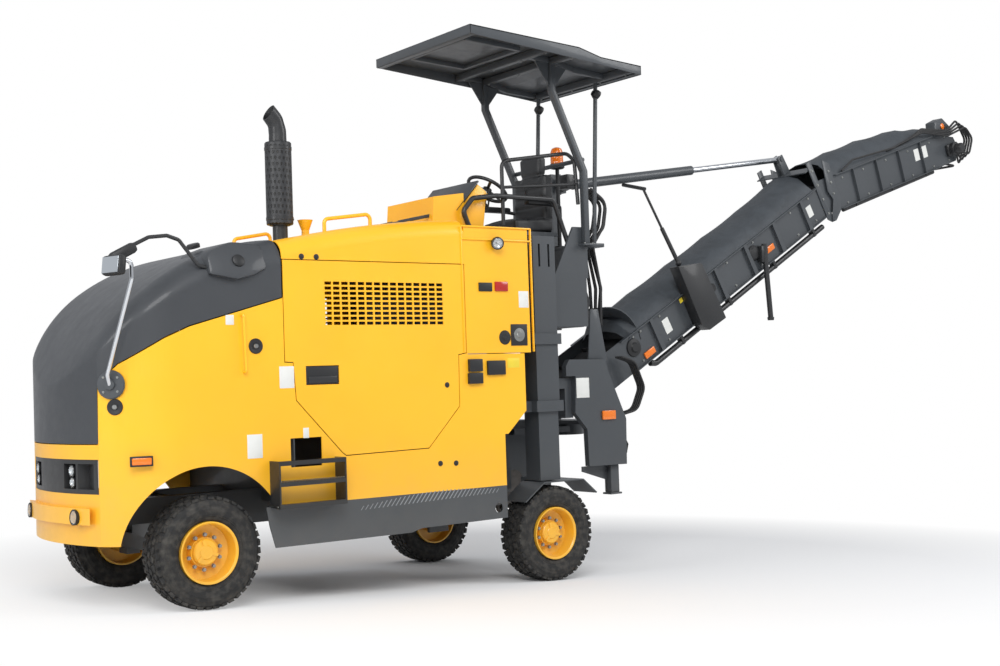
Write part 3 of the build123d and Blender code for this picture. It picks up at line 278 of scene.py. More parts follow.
def make(name, finish, body, *parts):
    """A piece from its parts, each a helper and what it takes."""
    shape = bmesh.new()
    for build, *values in parts:
        build(shape, *values)
    return finished(name, shape, finish, body)


def nose_reach(angle, corner, tip):
    """How far the nose outline lies from the turn point, in a direction from straight ahead."""
    turn = (corner[0] ** 2 + (BODY_HALF - corner[1]) ** 2) / (2 * (BODY_HALF - corner[1]))
    if angle > atan2(corner[1], corner[0]):
        middle = BODY_HALF - turn
        return middle * sin(angle) + sqrt(max(middle * middle * (sin(angle) ** 2 - 1) + turn * turn, 0))
    bow = (corner[1] ** 2 + (tip - corner[0]) ** 2) / (2 * (tip - corner[0]))
    middle = tip - bow
    return middle * cos(angle) + sqrt(max(middle * middle * (cos(angle) ** 2 - 1) + bow * bow, 0))


SHEET_CORNER, SHEET_TIP = (0.44, 0.6), 0.665     # the plain sheet form's corner and tip, from the turn
NOSE_CORNER, NOSE_TIP = (0.42, 0.577), 0.52      # the finished form's


def hood_arc(start, end, slope):
    """Centre height and length of the arc that leaves start at a slope and ends at end."""
    run, rise = end[0] - start[0], end[1] - start[1]
    size = sqrt(1 + slope * slope)
    off = (run * run + rise * rise) / (2 * (rise - slope * run)) * size
    centre = (start[0] - slope / size * off, start[1] + off / size)
    return centre, abs(off)


def hood_height(x, start, brow, slope, end):
    """Height of a hood's top line at x: one arc to the brow and a tighter one down the nose."""
    centre, size = hood_arc(start, brow, slope)
    if x <= brow[0]:
        return centre[1] + sqrt(max(size * size - (x - centre[0]) ** 2, 0))
    turn = -(brow[0] - centre[0]) / (brow[1] - centre[1])
    centre, size = hood_arc(brow, end, turn)
    return centre[1] + sqrt(max(size * size - (x - centre[0]) ** 2, 0))


HOOD_BACK = (-0.54, 2.308)
hood_rim = [(-0.54, 1.925), (0.1, 1.692), (0.52, 1.513), (0.59, 1.45), (0.62, 1.385)]  # lower edge


def hood_edge(x):
    """Height of the hood's lower edge at x on the plain sheet form."""
    for (x0, z0), (x1, z1) in zip(hood_rim, hood_rim[1:]):
        if x0 <= x <= x1:
            return z0 + (z1 - z0) * (x - x0) / (x1 - x0)
    return hood_rim[0][1] if x < hood_rim[0][0] else hood_rim[-1][1]


EDGE_RISE = 0.055           # the seam under the hood bows upward
SHEET_SWEEP = ((0.3, 2.09), -0.08, (1.0, 1.4))      # the plain sheet hood's brow, slope at its back and end
NOSE_SWEEP = ((0.184, 2.076), -0.052, (0.76, 1.15))     # the finished hood's
SHEET_FRONT, NOSE_FRONT = 0.845, 0.7                # where each sweep ends
LONG_EDGE = 0.06            # edges longer than this are cut before the sheet is bent


def long_edges(sheet):
    """The long edges of a sheet in front of the turn point."""
    return [edge for edge in sheet.edges
            if max(vert.co.x for vert in edge.verts) > TURN_X and edge.calc_length() > LONG_EDGE]


def reshaped(name, made_name, finish, body, with_top=False):
    """A sheet piece of the nose, drawn in to the finished outline."""
    sheet = bmesh.new()
    sheet.from_mesh(frame["nodes"][name].data)
    bmesh.ops.remove_doubles(sheet, verts=sheet.verts[:], dist=SAME_PLACE)
    bmesh.ops.transform(sheet, matrix=TO_CHASSIS, verts=sheet.verts[:])
    for _ in range(3):
        bmesh.ops.subdivide_edges(sheet, edges=long_edges(sheet), cuts=1)
        bmesh.ops.triangulate(sheet, faces=sheet.faces[:])
    for vert in sheet.verts:
        x, y, z = vert.co
        if x > TURN_X:
            angle = atan2(abs(y), x - TURN_X)
            scale = nose_reach(angle, NOSE_CORNER, NOSE_TIP) / nose_reach(angle, SHEET_CORNER, SHEET_TIP)
            vert.co.x = TURN_X + (x - TURN_X) * scale
            vert.co.y = y * scale
        floor = hood_edge(x)
        if with_top and z > floor:
            was = hood_height(min(x, SHEET_FRONT), HOOD_BACK, *SHEET_SWEEP)
            now = hood_height(min(vert.co.x, NOSE_FRONT), HOOD_BACK, *NOSE_SWEEP)
            vert.co.z = floor + (z - floor) * (now - floor) / (was - floor)
        bulge = max(0.0, min(1.0, (x - HOOD_BACK[0]) / 0.6)) * max(0.0, min(1.0, (0.59 - x) / 0.33))
        vert.co.z += EDGE_RISE * bulge * max(0.0, 1 - abs(z - floor) / 0.4)
    made = finished(made_name, sheet, finish, body)
    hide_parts(name)
    return made


reshaped("front_hood", "engine_hood", dark_enamel, "hood", with_top=True)
reshaped("side_panel_left", "left_side_panel", yellow_enamel, "frame")
reshaped("side_panel_right", "right_side_panel", yellow_enamel, "frame")
reshaped("front_bumper", "nose_bumper", yellow_enamel, "frame")
reshaped("lamp_box", "nose_lamp_box", black_enamel, "frame")

# ---------------------------------------------------------------- lamps and reflectors
# Lamps have a chromed bowl behind a clear polycarbonate lens, pressed into a moulded shell. The
# markers are amber acrylic blocks on moulded black beds.


def plain(name, colour, roughness, metallic=0.0, grain=120.0, depth=0.0004, spread=0.06, **extra):
    """A finish with a slight drift of tone and a fine grain: for moulded, plated and cast pieces."""
    material, tree = new_material(name)
    at_point = object_point(tree)
    cloud = noise(tree, at_point, 14.0, 4.0)
    light = linear(colour)
    deep = [channel * (1 - 3 * spread) for channel in light[:3]] + [1.0]
    tone = node(tree, "ShaderNodeMix", {"data_type": "RGBA", 6: light, 7: deep}, {0: cloud})
    rough = node(tree, "ShaderNodeMapRange", {"To Min": max(roughness - spread, 0.02),
        "To Max": roughness + spread}, {"Value": cloud})
    fine = relief(tree, noise(tree, at_point, grain), 0.3, depth)
    surface(tree, {"Metallic": metallic, **extra}, {"Base Color": tone.outputs[2],
        "Roughness": rough.outputs[0], "Normal": fine})
    return material


# Lamps, plates and fittings: acrylic and lenses are clear and glossy, chrome and glass give sharp
# reflections, zinc plate a soft grey one; moulded plastic and hose are dull and dark.
amber_acrylic = plain("amber_acrylic", "#F07A12", 0.18, spread=0.05, **{"Coat Weight": 0.6})
clear_lens = plain("clear_polycarbonate", "#E9EEF0", 0.08, grain=60.0, spread=0.02,
    **{"Transmission Weight": 0.75, "IOR": 1.58})
lamp_bowl = plain("chromed_bowl", "#D8DADD", 0.12, metallic=1.0, spread=0.03)
zinc_plate = plain("zinc_plated_steel", "#A9ABA8", 0.34, metallic=1.0, spread=0.1)
chrome_tube = plain("polished_chrome", "#D4D7DB", 0.1, metallic=1.0, spread=0.03)
moulded_black = plain("moulded_black_plastic", "#1C1D1F", 0.5, grain=500.0, depth=0.0003)
mirror_glass = plain("silvered_glass", "#DDE3E8", 0.03, metallic=1.0, spread=0.01)
blank_plate = plain("blank_aluminium_plate", "#DFE0DC", 0.38, spread=0.04)
yellow_plate = plain("blank_yellow_plate", "#E9CF3A", 0.4, spread=0.04)
hose_rubber = plain("hose_rubber", "#1D1D1E", 0.55, grain=700.0, depth=0.0004)


def edges_of(verts):
    """The edges that meet some corners, each once and in a fixed order."""
    return list(dict.fromkeys(edge for vert in verts for edge in vert.link_edges))


def eased(shape, edges, bevel):
    """Rounds some edges, where a bevel is asked for."""
    if bevel:
        bmesh.ops.bevel(shape, geom=list(dict.fromkeys(edges)), offset=bevel, affect="EDGES", segments=2,
            profile=0.5, material=-1)


def slab_xz(shape, outline, y0, y1, bevel=0.0):
    """A plate cut to an outline seen from the side, from y0 to y1, with its edges eased."""
    verts = [shape.verts.new((x, y0, z)) for x, z in outline]
    face = shape.faces.new(verts)
    raised = bmesh.ops.extrude_face_region(shape, geom=[face])["geom"]
    bmesh.ops.translate(shape, verts=[item for item in raised if isinstance(item, bmesh.types.BMVert)],
        vec=(0, y1 - y0, 0))
    eased(shape, edges_of(verts) + [edge for item in raised if isinstance(item, bmesh.types.BMFace)
        for edge in item.edges], bevel)


def brick(shape, low, high, bevel=0.004, turn=None):
    """A box with eased edges between two corners, turned about its middle where asked."""
    middle = (Vector(low) + Vector(high)) / 2
    size = Vector(high) - Vector(low)
    place_at = Matrix.Translation(middle) @ (turn or Matrix.Identity(4)) @ Matrix.Diagonal((*size, 1.0))
    eased(shape, edges_of(bmesh.ops.create_cube(shape, size=1.0, matrix=place_at)["verts"]), bevel)


def ball(shape, centre, radius):
    """A round knob."""
    bmesh.ops.create_uvsphere(shape, u_segments=16, v_segments=10, radius=radius, matrix=Matrix.Translation(centre))


def facing(centre, direction):
    """A frame at a place with its Z axis along a direction."""
    return Matrix.Translation(centre) @ Vector(direction).to_track_quat("Z", "Y").to_matrix().to_4x4()


def round_bar(shape, start, end, radius, end_radius=None, sides=24, bevel=0.0):
    """A round bar or cone from start to end."""
    start, end = Vector(start), Vector(end)
    made = bmesh.ops.create_cone(shape, cap_ends=True, segments=sides, radius1=radius, radius2=radius
        if end_radius is None else end_radius, depth=(end - start).length,
        matrix=facing((start + end) / 2, end - start))["verts"]
    eased(shape, [edge for edge in edges_of(made) if any(len(face.verts) > 4 for face in edge.link_faces)],
        bevel)


def turned(shape, centre, direction, profile, sides=32):
    """A turned form: its profile, radius and height along the axis, spun about the axis."""
    place_at = facing(centre, direction)
    verts = [shape.verts.new(place_at @ Vector((radius, 0, height))) for radius, height in profile]
    edges = [shape.edges.new(pair) for pair in zip(verts, verts[1:])]
    bmesh.ops.spin(shape, geom=verts + edges, cent=place_at.translation,
        axis=place_at.to_3x3() @ Vector((0, 0, 1)), angle=2 * pi, steps=sides, use_merge=True,
        use_duplicate=False)
    bmesh.ops.remove_doubles(shape, verts=shape.verts[:], dist=0.00001)


def rounded(points, radius, steps=5):
    """A route with its corners rounded."""
    points = [Vector(point) for point in points]
    route = [points[0]]
    for before, corner, after in zip(points, points[1:], points[2:]):
        back, on = (before - corner), (after - corner)
        turn = back.angle(on)
        cut = min(radius / max(abs(sin(turn / 2) / cos(turn / 2)), 0.01), back.length * 0.45, on.length * 0.45)
        first, last = corner + back.normalized() * cut, corner + on.normalized() * cut
        for step in range(steps + 1):
            share = step / steps
            route.append(first.lerp(corner, share).lerp(corner.lerp(last, share), share))
    return route + [points[-1]]


def tube(shape, points, radius, bend=0.03, sides=12, steps=5):
    """A round tube along a route with rounded corners, closed at its ends."""
    route = rounded(points, bend, steps)
    before = None
    heading = (route[1] - route[0]).normalized()
    turn = heading.to_track_quat("Z", "Y").to_matrix()
    for index, spot in enumerate(route):
        ahead_of = (route[min(index + 1, len(route) - 1)] - route[max(index - 1, 0)]).normalized()
        turn = heading.rotation_difference(ahead_of).to_matrix() @ turn
        heading = ahead_of
        at_end = index in (0, len(route) - 1)
        ring = bmesh.ops.create_circle(shape, cap_ends=at_end, segments=sides, radius=radius,
            matrix=Matrix.Translation(spot) @ turn.to_4x4())["verts"]
        edges = edges_of(ring)
        if before:
            bmesh.ops.bridge_loops(shape, edges=before + edges)
        before = edges


def bolts(shape, places, direction, size=0.012, height=0.008):
    """Hexagon bolt heads on washers at each place."""
    direction = Vector(direction).normalized()
    for spot in places:
        spot = Vector(spot)
        round_bar(shape, spot, spot + direction * 0.002, size * 1.15, sides=16)
        round_bar(shape, spot + direction * 0.002, spot + direction * height, size, sides=6)


LEFT = Vector((0, 1, 0))
UP = Vector((0, 0, 1))


def lamp(name, spot, direction, radius, depth, body="frame", glass=None, shell=None):
    """A round lamp: a moulded shell, a bright bowl and a domed lens."""
    make(name + "_shell", shell or moulded_black, body, (turned, spot, direction, [(0.0005, -depth),
        (radius * 0.7, -depth), (radius, -depth * 0.4), (radius, 0.0), (radius * 0.9, 0.002),
        (radius * 0.88, -0.003)]))
    make(name + "_bowl", lamp_bowl, body, (turned, spot, direction, [(radius * 0.88, -0.004),
        (radius * 0.6, -depth * 0.3), (0.0005, -depth * 0.4)]))
    make(name + "_lens", glass or clear_lens, body, (turned, spot, direction, [(radius * 0.87, -0.003),
        (radius * 0.7, 0.003), (radius * 0.35, 0.007), (0.0005, 0.008)]))


for side, word in ((1, "left"), (-1, "right")):
    lamp("bumper_lamp_" + word, (0.703, side * 0.4, 0.605), (1, side * 0.12, 0.05), 0.048, 0.05)
    lamp("head_lamp_low_" + word, (0.672, side * 0.3, 0.88), (1, side * 0.15, 0), 0.038, 0.04)
    lamp("head_lamp_high_" + word, (0.668, side * 0.3, 0.81), (1, side * 0.15, 0), 0.034, 0.04)
    make("amber_marker_" + word, amber_acrylic, "frame", (brick, (0.36, side * 0.785 - 0.012, 0.915),
        (0.475, side * 0.785 + 0.012, 0.957), 0.006, Matrix.Rotation(-side * 0.3, 4, "Z")))
    make("amber_marker_bed_" + word, moulded_black, "frame", (brick, (0.35, side * 0.78 - 0.01, 0.905),
        (0.485, side * 0.78 + 0.01, 0.967), 0.004, Matrix.Rotation(-side * 0.3, 4, "Z")))

# ---------------------------------------------------------------- wheels
# Solid-sided rubber tyres with a block tread on pressed steel rims. A round hub cover with three
# raised arms closes each rim, inside a ring of zinc-plated nuts.
tyre_rubber, tree = new_material("carbon_black_rubber")     # dull black, with pale dust in patches
rubber_at = object_point(tree)
rubber_mask = span(tree, noise(tree, rubber_at, 22.0, 6.0), 0.42, 0.75, 0.0, 0.75)
surface(tree, {"Roughness": 0.72, "Specular IOR Level": 0.35},
    {"Base Color": blend(tree, rubber_mask, "#242424", "#4E4B46"),
    "Normal": relief(tree, noise(tree, rubber_at, 380.0), 0.35, 0.0006)})

TREAD_BLOCKS, BLOCK_SHARE, BLOCK_HIGH = 40, 0.68, 0.0165    # blocks round a tyre, share of the pitch filled
NUTS, NUT_CIRCLE = 10, 0.108
tread_rows = [(-0.098, 0.03, 0.0), (-0.05, 0.036, 0.5), (0.0, 0.03, 0.0), (0.05, 0.036, 0.5),
              (0.098, 0.03, 0.0)]        # across from the middle, width, share of a pitch round
for place_name, body in (("front_left", "front_left_wheel"), ("front_right", "front_right_wheel"),
        ("rear_left", "rear_left_wheel"), ("rear_right", "rear_right_wheel")):
    low, high = [Vector(corner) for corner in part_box("tyre_" + place_name)]
    hub, radius, half = (low + high) / 2, (high.z - low.z) / 2, (high.y - low.y) / 2
    shape = bmesh.new()
    groove = radius - 0.011
    block_long = 2 * pi * radius / TREAD_BLOCKS * BLOCK_SHARE
    wall = [(0.196, 0.03), (0.208, 0.02), (0.222, 0.016), (0.226, 0.01), (0.232, 0.01), (0.236, 0.006), (0.272, 0.0),
            (0.28, 0.004), (0.296, 0.003), (0.302, 0.007), (groove - 0.014, 0.014), (groove, 0.034)]
    turned(shape, hub, LEFT, [(size, inset - half) for size, inset in wall] + [(groove + 0.003, 0.0)]
           + [(size, half - inset) for size, inset in wall[::-1]] + [(0.196, 0.03 - half)], 72)
    for across, width, shift in tread_rows:
        for index in range(TREAD_BLOCKS):
            angle = 2 * pi * (index + shift) / TREAD_BLOCKS
            edge_drop = 0.006 if abs(across) > 0.08 else 0.0
            spin_to = Matrix.Translation(hub) @ Matrix.Rotation(angle, 4, "Y")
            skew = Matrix.Rotation(radians(14 if index % 2 else -14), 4, "Z")
            block_at = spin_to @ Matrix.Translation((0, across, radius - 0.0085 - edge_drop)) @ skew
            bmesh.ops.create_cube(shape, size=1.0,
                matrix=block_at @ Matrix.Diagonal((block_long, width, BLOCK_HIGH, 1.0)))
    finished("block_tyre_" + place_name, shape, tyre_rubber, body, placed=True)
    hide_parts("tyre_" + place_name)
    outer = -1 if place_name.endswith("right") else 1
    face_y = hub.y + outer * 0.04
    shape = bmesh.new()
    turned(shape, (hub.x, face_y, hub.z), LEFT * outer, [(0.0005, 0.03), (0.04, 0.03), (0.046, 0.024),
        (0.074, 0.022), (0.082, 0.014), (0.086, -0.01)], sides=40)
    for index in range(3):
        arm = Matrix.Translation((hub.x, face_y + outer * 0.022, hub.z))
        arm = arm @ Matrix.Rotation(2 * pi * index / 3 + 0.3, 4, "Y")
        bmesh.ops.create_cube(shape, size=1.0,
            matrix=arm @ Matrix.Translation((0, 0, 0.052)) @ Matrix.Diagonal((0.02, 0.014, 0.052, 1.0)))
    finished("hub_cover_" + place_name, shape, yellow_enamel, body, placed=True)
    shape = bmesh.new()
    for index in range(NUTS):
        angle = 2 * pi * (index + 0.5) / NUTS
        spot = Vector((hub.x + NUT_CIRCLE * cos(angle), face_y - outer * 0.012, hub.z + NUT_CIRCLE * sin(angle)))
        bolts(shape, [spot], LEFT * outer, 0.011, 0.016)
    finished("wheel_nuts_" + place_name, shape, zinc_plate, body, placed=True)

# ---------------------------------------------------------------- mirrors
# A round-based mirror on a chromed tube stands on the left nose corner. A second, long one reaches
# forward on a bent black tube from a moulded pod on the hood's left shoulder.
NOSE_TURN_R = (NOSE_CORNER[0] ** 2 + (BODY_HALF - NOSE_CORNER[1]) ** 2) / (2 * (BODY_HALF - NOSE_CORNER[1]))


def nose_side(x, side=1, out=0.0):
    """A place on the nose's side face at x, and the way it faces."""
    rise = sqrt(NOSE_TURN_R ** 2 - max(x - TURN_X, 0) ** 2)
    facing_out = Vector((max(x - TURN_X, 0), side * rise, 0)).normalized()
    return Vector((x, side * (BODY_HALF - NOSE_TURN_R + rise), 0)) + facing_out * out, facing_out


base, outward = nose_side(0.54)
base.z = 1.4
make("mirror_base_left", grey_enamel, "frame", (turned, base + outward * 0.001, outward, [(0.0005, 0.0),
    (0.086, 0.0), (0.088, 0.008), (0.08, 0.016), (0.034, 0.02), (0.03, 0.034), (0.0005, 0.036)], 40))
top = Vector((0.486, 0.87, 2.122))
make("mirror_tube_left", chrome_tube, "frame", (tube, [base + outward * 0.026,
    base + outward * 0.055 + UP * 0.06, top - UP * 0.1, top, top + Vector((0.07, 0.02, 0.015))], 0.013, 0.05))
make("mirror_base_bolts_left", zinc_plate, "frame",
    (bolts, [base + outward * 0.01 + Vector((outward.y * cos(turn), -outward.x * cos(turn), sin(turn))) * 0.062
    for turn in (0.8, 2.4, 3.9, 5.5)], outward, 0.008, 0.012))
head = Vector((0.605, 0.9, 2.095))
turn = Matrix.Rotation(0.3, 4, "Z") @ Matrix.Rotation(-0.12, 4, "Y")
make("mirror_head_left", moulded_black, "frame", (brick, head - Vector((0.028, 0.085, 0.06)),
    head + Vector((0.028, 0.085, 0.06)), 0.02, turn))
face_at = head + turn @ Vector((0.029, 0, 0))
make("mirror_glass_left", mirror_glass, "frame", (brick, face_at - Vector((0.0012, 0.072, 0.048)),
    face_at + Vector((0.0012, 0.072, 0.048)), 0.001, turn))
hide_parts("mirrors")

POD_FOOT, POD_LEAN = 2.03, 0.4
pod_outline = [(-0.03, 2.06), (-0.035, 2.17), (-0.07, 2.22), (-0.22, 2.276), (-0.405, 2.269), (-0.44, 2.23),
    (-0.438, 2.107), (-0.34, 2.06), (-0.216, 2.028)]
shape = bmesh.new()
slab_xz(shape, pod_outline, 0.4, 0.85, 0.022)
for vert in shape.verts:
    vert.co.y -= (vert.co.z - POD_FOOT) * POD_LEAN
finished("hood_pod", shape, dark_enamel, "hood")
make("hood_pod_knob", moulded_black, "hood", (turned, (-0.24, 0.8, 2.15), (0, 1, POD_LEAN), [(0.0005, 0.018),
    (0.03, 0.018), (0.04, 0.012), (0.042, 0.0)], 28))
make("nose_mirror_arm", black_enamel, "hood", (tube, [(-0.13, 0.74, 2.1), (-0.12, 0.79, 2.085),
    (0.02, 0.775, 2.12), (0.135, 0.76, 2.274), (0.219, 0.775, 2.296), (0.347, 0.8, 2.279),
    (0.455, 0.815, 2.225)], 0.012, 0.035))
make("nose_mirror_head", moulded_black, "hood", (brick, (0.43, 0.79, 2.145), (0.61, 0.86, 2.21), 0.024,
    Matrix.Rotation(radians(28), 4, "Y")))
make("hood_pod_cap", black_enamel, "hood", (turned, (-0.08, 0.5, 2.262), (0.3, 0.1, 1), [(0.0005, -0.01),
    (0.042, -0.01), (0.044, 0.012), (0.036, 0.02), (0.0005, 0.022)], 28))

# ---------------------------------------------------------------- latches, handles and blank plates
# Round recessed latches of moulded plastic, a pull bar on the door, an upright grip, isolator and
# switch boxes on the rear cabinet, and small blank plates where a machine carries its notices.
for index, (x, z) in enumerate(((0.527, 1.265), (-0.346, 1.614))):
    spot, outward = nose_side(x, 1, 0.0005)
    spot.z = z
    make(f"latch_cup_{index}", moulded_black, "frame", (turned, spot, outward, [(0.0005, 0.003), (0.03, 0.003),
        (0.036, 0.006), (0.046, 0.007), (0.049, 0.003), (0.049, -0.004)], 32))
    make(f"latch_key_{index}", zinc_plate, "frame", (turned, spot + outward * 0.004, outward, [(0.0005, 0.008),
        (0.013, 0.008), (0.016, 0.004), (0.016, 0.0)], 24))

for side, word in ((1, "left"), (-1, "right")):
    make("door_recess_" + word, moulded_black, word + "_door", (brick, (-0.945, side * 0.792 - 0.004, 1.36),
        (-0.702, side * 0.792 + 0.004, 1.478), 0.003))
    make("door_pull_" + word, black_enamel, word + "_door", (brick, (-0.93, side * 0.797 - 0.005, 1.368),
        (-0.716, side * 0.797 + 0.005, 1.412), 0.004))

make("panel_grip", yellow_enamel, "frame", (tube, [(-0.252, 0.8, 1.812), (-0.252, 0.832, 1.812),
    (-0.262, 0.832, 1.452), (-0.262, 0.8, 1.452)], 0.009, 0.02))

plates = [  # name, x, z, width, height, finish
    ("plate_a", -0.56, 1.412, 0.105, 0.14, blank_plate), ("plate_b", -0.322, 0.984, 0.105, 0.15, blank_plate),
    ("plate_c", -0.688, 1.05, 0.042, 0.066, blank_plate), ("plate_d", -0.172, 1.78, 0.056, 0.062, blank_plate),
    ("plate_e", -2.508, 1.925, 0.09, 0.12, blank_plate), ("plate_f", -2.396, 1.466, 0.11, 0.07, yellow_plate)]
for name, x, z, wide, tall, finish in plates:
    make(name, finish, "frame", (brick, (x - wide / 2, BODY_HALF - 0.0005, z - tall / 2),
        (x + wide / 2, BODY_HALF + 0.0015, z + tall / 2), 0.0006))
for index, (x, z) in enumerate(((-1.73, 0.786), (-1.862, 0.78), (-1.807, 1.325), (-0.69, 2.19), (-0.8, 2.19))):
    make(f"side_plug_{index}", moulded_black, "left_door" if index == 2 else "frame",
        (turned, (x, BODY_HALF + 0.0005, z), LEFT, [(0.0005, 0.004), (0.015, 0.004), (0.019, 0.002),
        (0.019, -0.003)], 20))

boxes = [  # name, x from, x to, z from, z to, depth, finish
    ("cabinet_vent", -2.222, -2.105, 1.98, 2.042, 0.01, moulded_black),
    ("cabinet_lens", -2.362, -2.248, 1.982, 2.05, 0.012, None),
    ("switch_box_a", -2.105, -1.99, 1.412, 1.5, 0.026, moulded_black),
    ("switch_box_b", -2.312, -2.155, 1.384, 1.486, 0.02, moulded_black),
    ("switch_box_c", -2.105, -1.985, 1.326, 1.402, 0.026, moulded_black),
    ("isolator_plate", -2.53, -2.38, 1.59, 1.745, 0.006, moulded_black)]
# A clear, glossy red for the cabinet's small lens
red_acrylic = plain("red_acrylic", "#B3201A", 0.2, **{"Coat Weight": 0.5})
for name, x0, x1, z0, z1, depth, finish in boxes:
    make(name, finish or red_acrylic, "frame", (brick, (x0, BODY_HALF - 0.002, z0), (x1, BODY_HALF + depth, z1),
        0.004))
for index, (x, z) in enumerate(((-2.326, 1.65), (-2.455, 1.668))):
    make(f"cabinet_socket_{index}", moulded_black if index == 0 else zinc_plate, "frame",
        (turned, (x, BODY_HALF + 0.001, z), LEFT, [(0.0005, 0.014), (0.02, 0.014), (0.024, 0.008),
        (0.048, 0.006), (0.052, 0.0)], 28))
shape = bmesh.new()
for z in (2.349, 2.44):
    brick(shape, (-2.588, BODY_HALF - 0.01, z - 0.006), (-1.965, BODY_HALF + 0.01, z + 0.006), 0.003)
for x in (-2.588, -1.965):
    brick(shape, (x - 0.005, BODY_HALF - 0.01, 1.545), (x + 0.005, BODY_HALF + 0.007, 2.44), 0.002)
finished("cabinet_trim", shape, yellow_enamel, "frame")
lamp("side_work_lamp", (-2.25, 0.855, 2.318), (0.4, 1, -0.35), 0.045, 0.06)
make("side_work_lamp_bracket", black_enamel, "frame", (tube, [(-2.255, 0.795, 2.33), (-2.255, 0.835, 2.33)],
    0.01, 0.01))

# Painted highlight on the skirt: pale hatch strokes, leaning back and thinning out
STROKES = 34
# The pale grey of these strokes is a painted highlight, not an enamel on the skirt.
skirt_highlight_paint = plain("painted_highlight_grey", "#8A8D90", 0.45)       # a flat pale grey
skirt_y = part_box("chassis_frame")[1][1] - AXLE.y
shape = bmesh.new()
for index in range(STROKES):
    share = index / (STROKES - 1)
    x = -1.08 - 1.12 * share
    tall = 0.026 + 0.04 * sin(pi * share)
    wide = 0.01 - 0.004 * abs(2 * share - 1)
    z = 0.52 + 0.03 * share
    slab_xz(shape, [(x, z), (x - wide, z), (x - wide - tall * 0.8, z + tall), (x - tall * 0.8, z + tall)],
        skirt_y - 0.002, skirt_y + 0.0012)
finished("skirt_highlight_strokes", shape, skirt_highlight_paint, "frame")

# ---------------------------------------------------------------- step
# The open step under the left panel is steel plate; zinc-plated treads of serrated bar are welded
# across it and along its upper edge, for grip.
shape = bmesh.new()
for x in (-0.892, -0.772, -0.652, -0.532, -0.412):
    brick(shape, (x - 0.004, BODY_HALF + 0.012, 0.598), (x + 0.004, 0.918, 0.606), 0.001)
for index in range(22):
    brick(shape, (-0.89 + index * 0.0215, 0.895, 0.756), (-0.882 + index * 0.0215, 0.925, 0.762), 0.001)
finished("step_grip", shape, zinc_plate, "frame")

# ---------------------------------------------------------------- exhaust
# A steel stack inside a rolled, perforated heat shield, painted black, with a bent outlet. Two
# bands clamp the shield, and the foot plate is bolted to the cover.
STACK_X, STACK_Y = -0.715, 0.48
shield_paint, tree = new_material("perforated_heat_shield")     # satin black, darker in each punched hole
HOLES_ROUND, HOLE_PITCH = 20.0, 0.04    # holes round the shield, metres between rows
shield_at = object_point(tree)
stack_axis = CHASSIS @ Vector((STACK_X, STACK_Y, 2.7))
shield_centred = node(tree, "ShaderNodeMapping", {"Location": (-stack_axis.x, -stack_axis.y, 0.0)},
    {"Vector": shield_at})
shield_turn = node(tree, "ShaderNodeTexGradient", {"gradient_type": "RADIAL"},
    {"Vector": shield_centred.outputs[0]})
shield_xyz = node(tree, "ShaderNodeSeparateXYZ", {}, {0: shield_at})
row_of = arithmetic(tree, "DIVIDE", shield_xyz.outputs["Z"], HOLE_PITCH)
row_half = arithmetic(tree, "MULTIPLY", arithmetic(tree, "FLOOR", row_of), 0.5)
round_of = arithmetic(tree, "MULTIPLY_ADD", shield_turn.outputs["Fac"], HOLES_ROUND, row_half)
cell = node(tree, "ShaderNodeCombineXYZ", {}, {0: arithmetic(tree, "FRACT", round_of),
    1: arithmetic(tree, "FRACT", row_of)})
hole_far = node(tree, "ShaderNodeVectorMath", {"operation": "DISTANCE", 1: (0.5, 0.5, 0.0)},
    {0: cell.outputs[0]})
# Each punched hole is painted near black and pressed in: painted shade of the dark gap behind the shield.
painted_hole_shade = span(tree, hole_far.outputs["Value"], 0.24, 0.3, 1.0, 0.0)
surface(tree, {"Roughness": 0.42}, {"Base Color": blend(tree, painted_hole_shade, "#2A2B2D", "#050505"),
    "Normal": relief(tree, painted_hole_shade, 0.8, 0.003, invert=True)})

make("exhaust_shield", shield_paint, "frame", (turned, (STACK_X, STACK_Y, 0.0), UP, [(0.084, 2.43),
    (0.089, 2.436), (0.089, 2.975), (0.084, 2.982)], 60))
shape = bmesh.new()
turned(shape, (STACK_X, STACK_Y, 0.0), UP, [(0.05, 2.212), (0.05, 2.428), (0.07, 2.424), (0.072, 2.43),
    (0.084, 2.431), (0.086, 2.4305), (0.05, 2.44)], sides=40)
for z in (2.47, 2.94):
    turned(shape, (STACK_X, STACK_Y, 0.0), UP, [(0.0885, z - 0.012), (0.0915, z - 0.01), (0.0915, z + 0.01),
        (0.0885, z + 0.012)], sides=40)
brick(shape, (STACK_X - 0.1, STACK_Y - 0.016, 2.462), (STACK_X - 0.086, STACK_Y + 0.016, 2.478), 0.003)
brick(shape, (STACK_X - 0.075, STACK_Y - 0.075, 2.207), (STACK_X + 0.075, STACK_Y + 0.075, 2.222), 0.004)
bolts(shape, [(STACK_X + a, STACK_Y + b, 2.222) for a in (-0.058, 0.058) for b in (-0.058, 0.058)], UP, 0.01)
finished("exhaust_foot", shape, black_enamel, "frame")
shape = bmesh.new()
outlet = [(STACK_X, STACK_Y, 2.96), (STACK_X, STACK_Y, 3.05), (STACK_X + 0.016, STACK_Y, 3.125),
    (STACK_X + 0.062, STACK_Y, 3.178)]
before = None
for index, (x, y, z) in enumerate(rounded(outlet, 0.08, 8)):
    lean = max(0.0, min(1.0, (z - 3.0) / 0.16)) * 1.05
    ring = bmesh.ops.create_circle(shape, cap_ends=False, segments=32, radius=0.06,
        matrix=Matrix.Translation((x, y, z)) @ Matrix.Rotation(lean, 4, "Y"))["verts"]
    edges = edges_of(ring)
    if before:
        bmesh.ops.bridge_loops(shape, edges=before + edges)
    before = edges
inner_wall = bmesh.ops.extrude_edge_only(shape, edges=before)["geom"]
lip = [item for item in inner_wall if isinstance(item, bmesh.types.BMVert)]
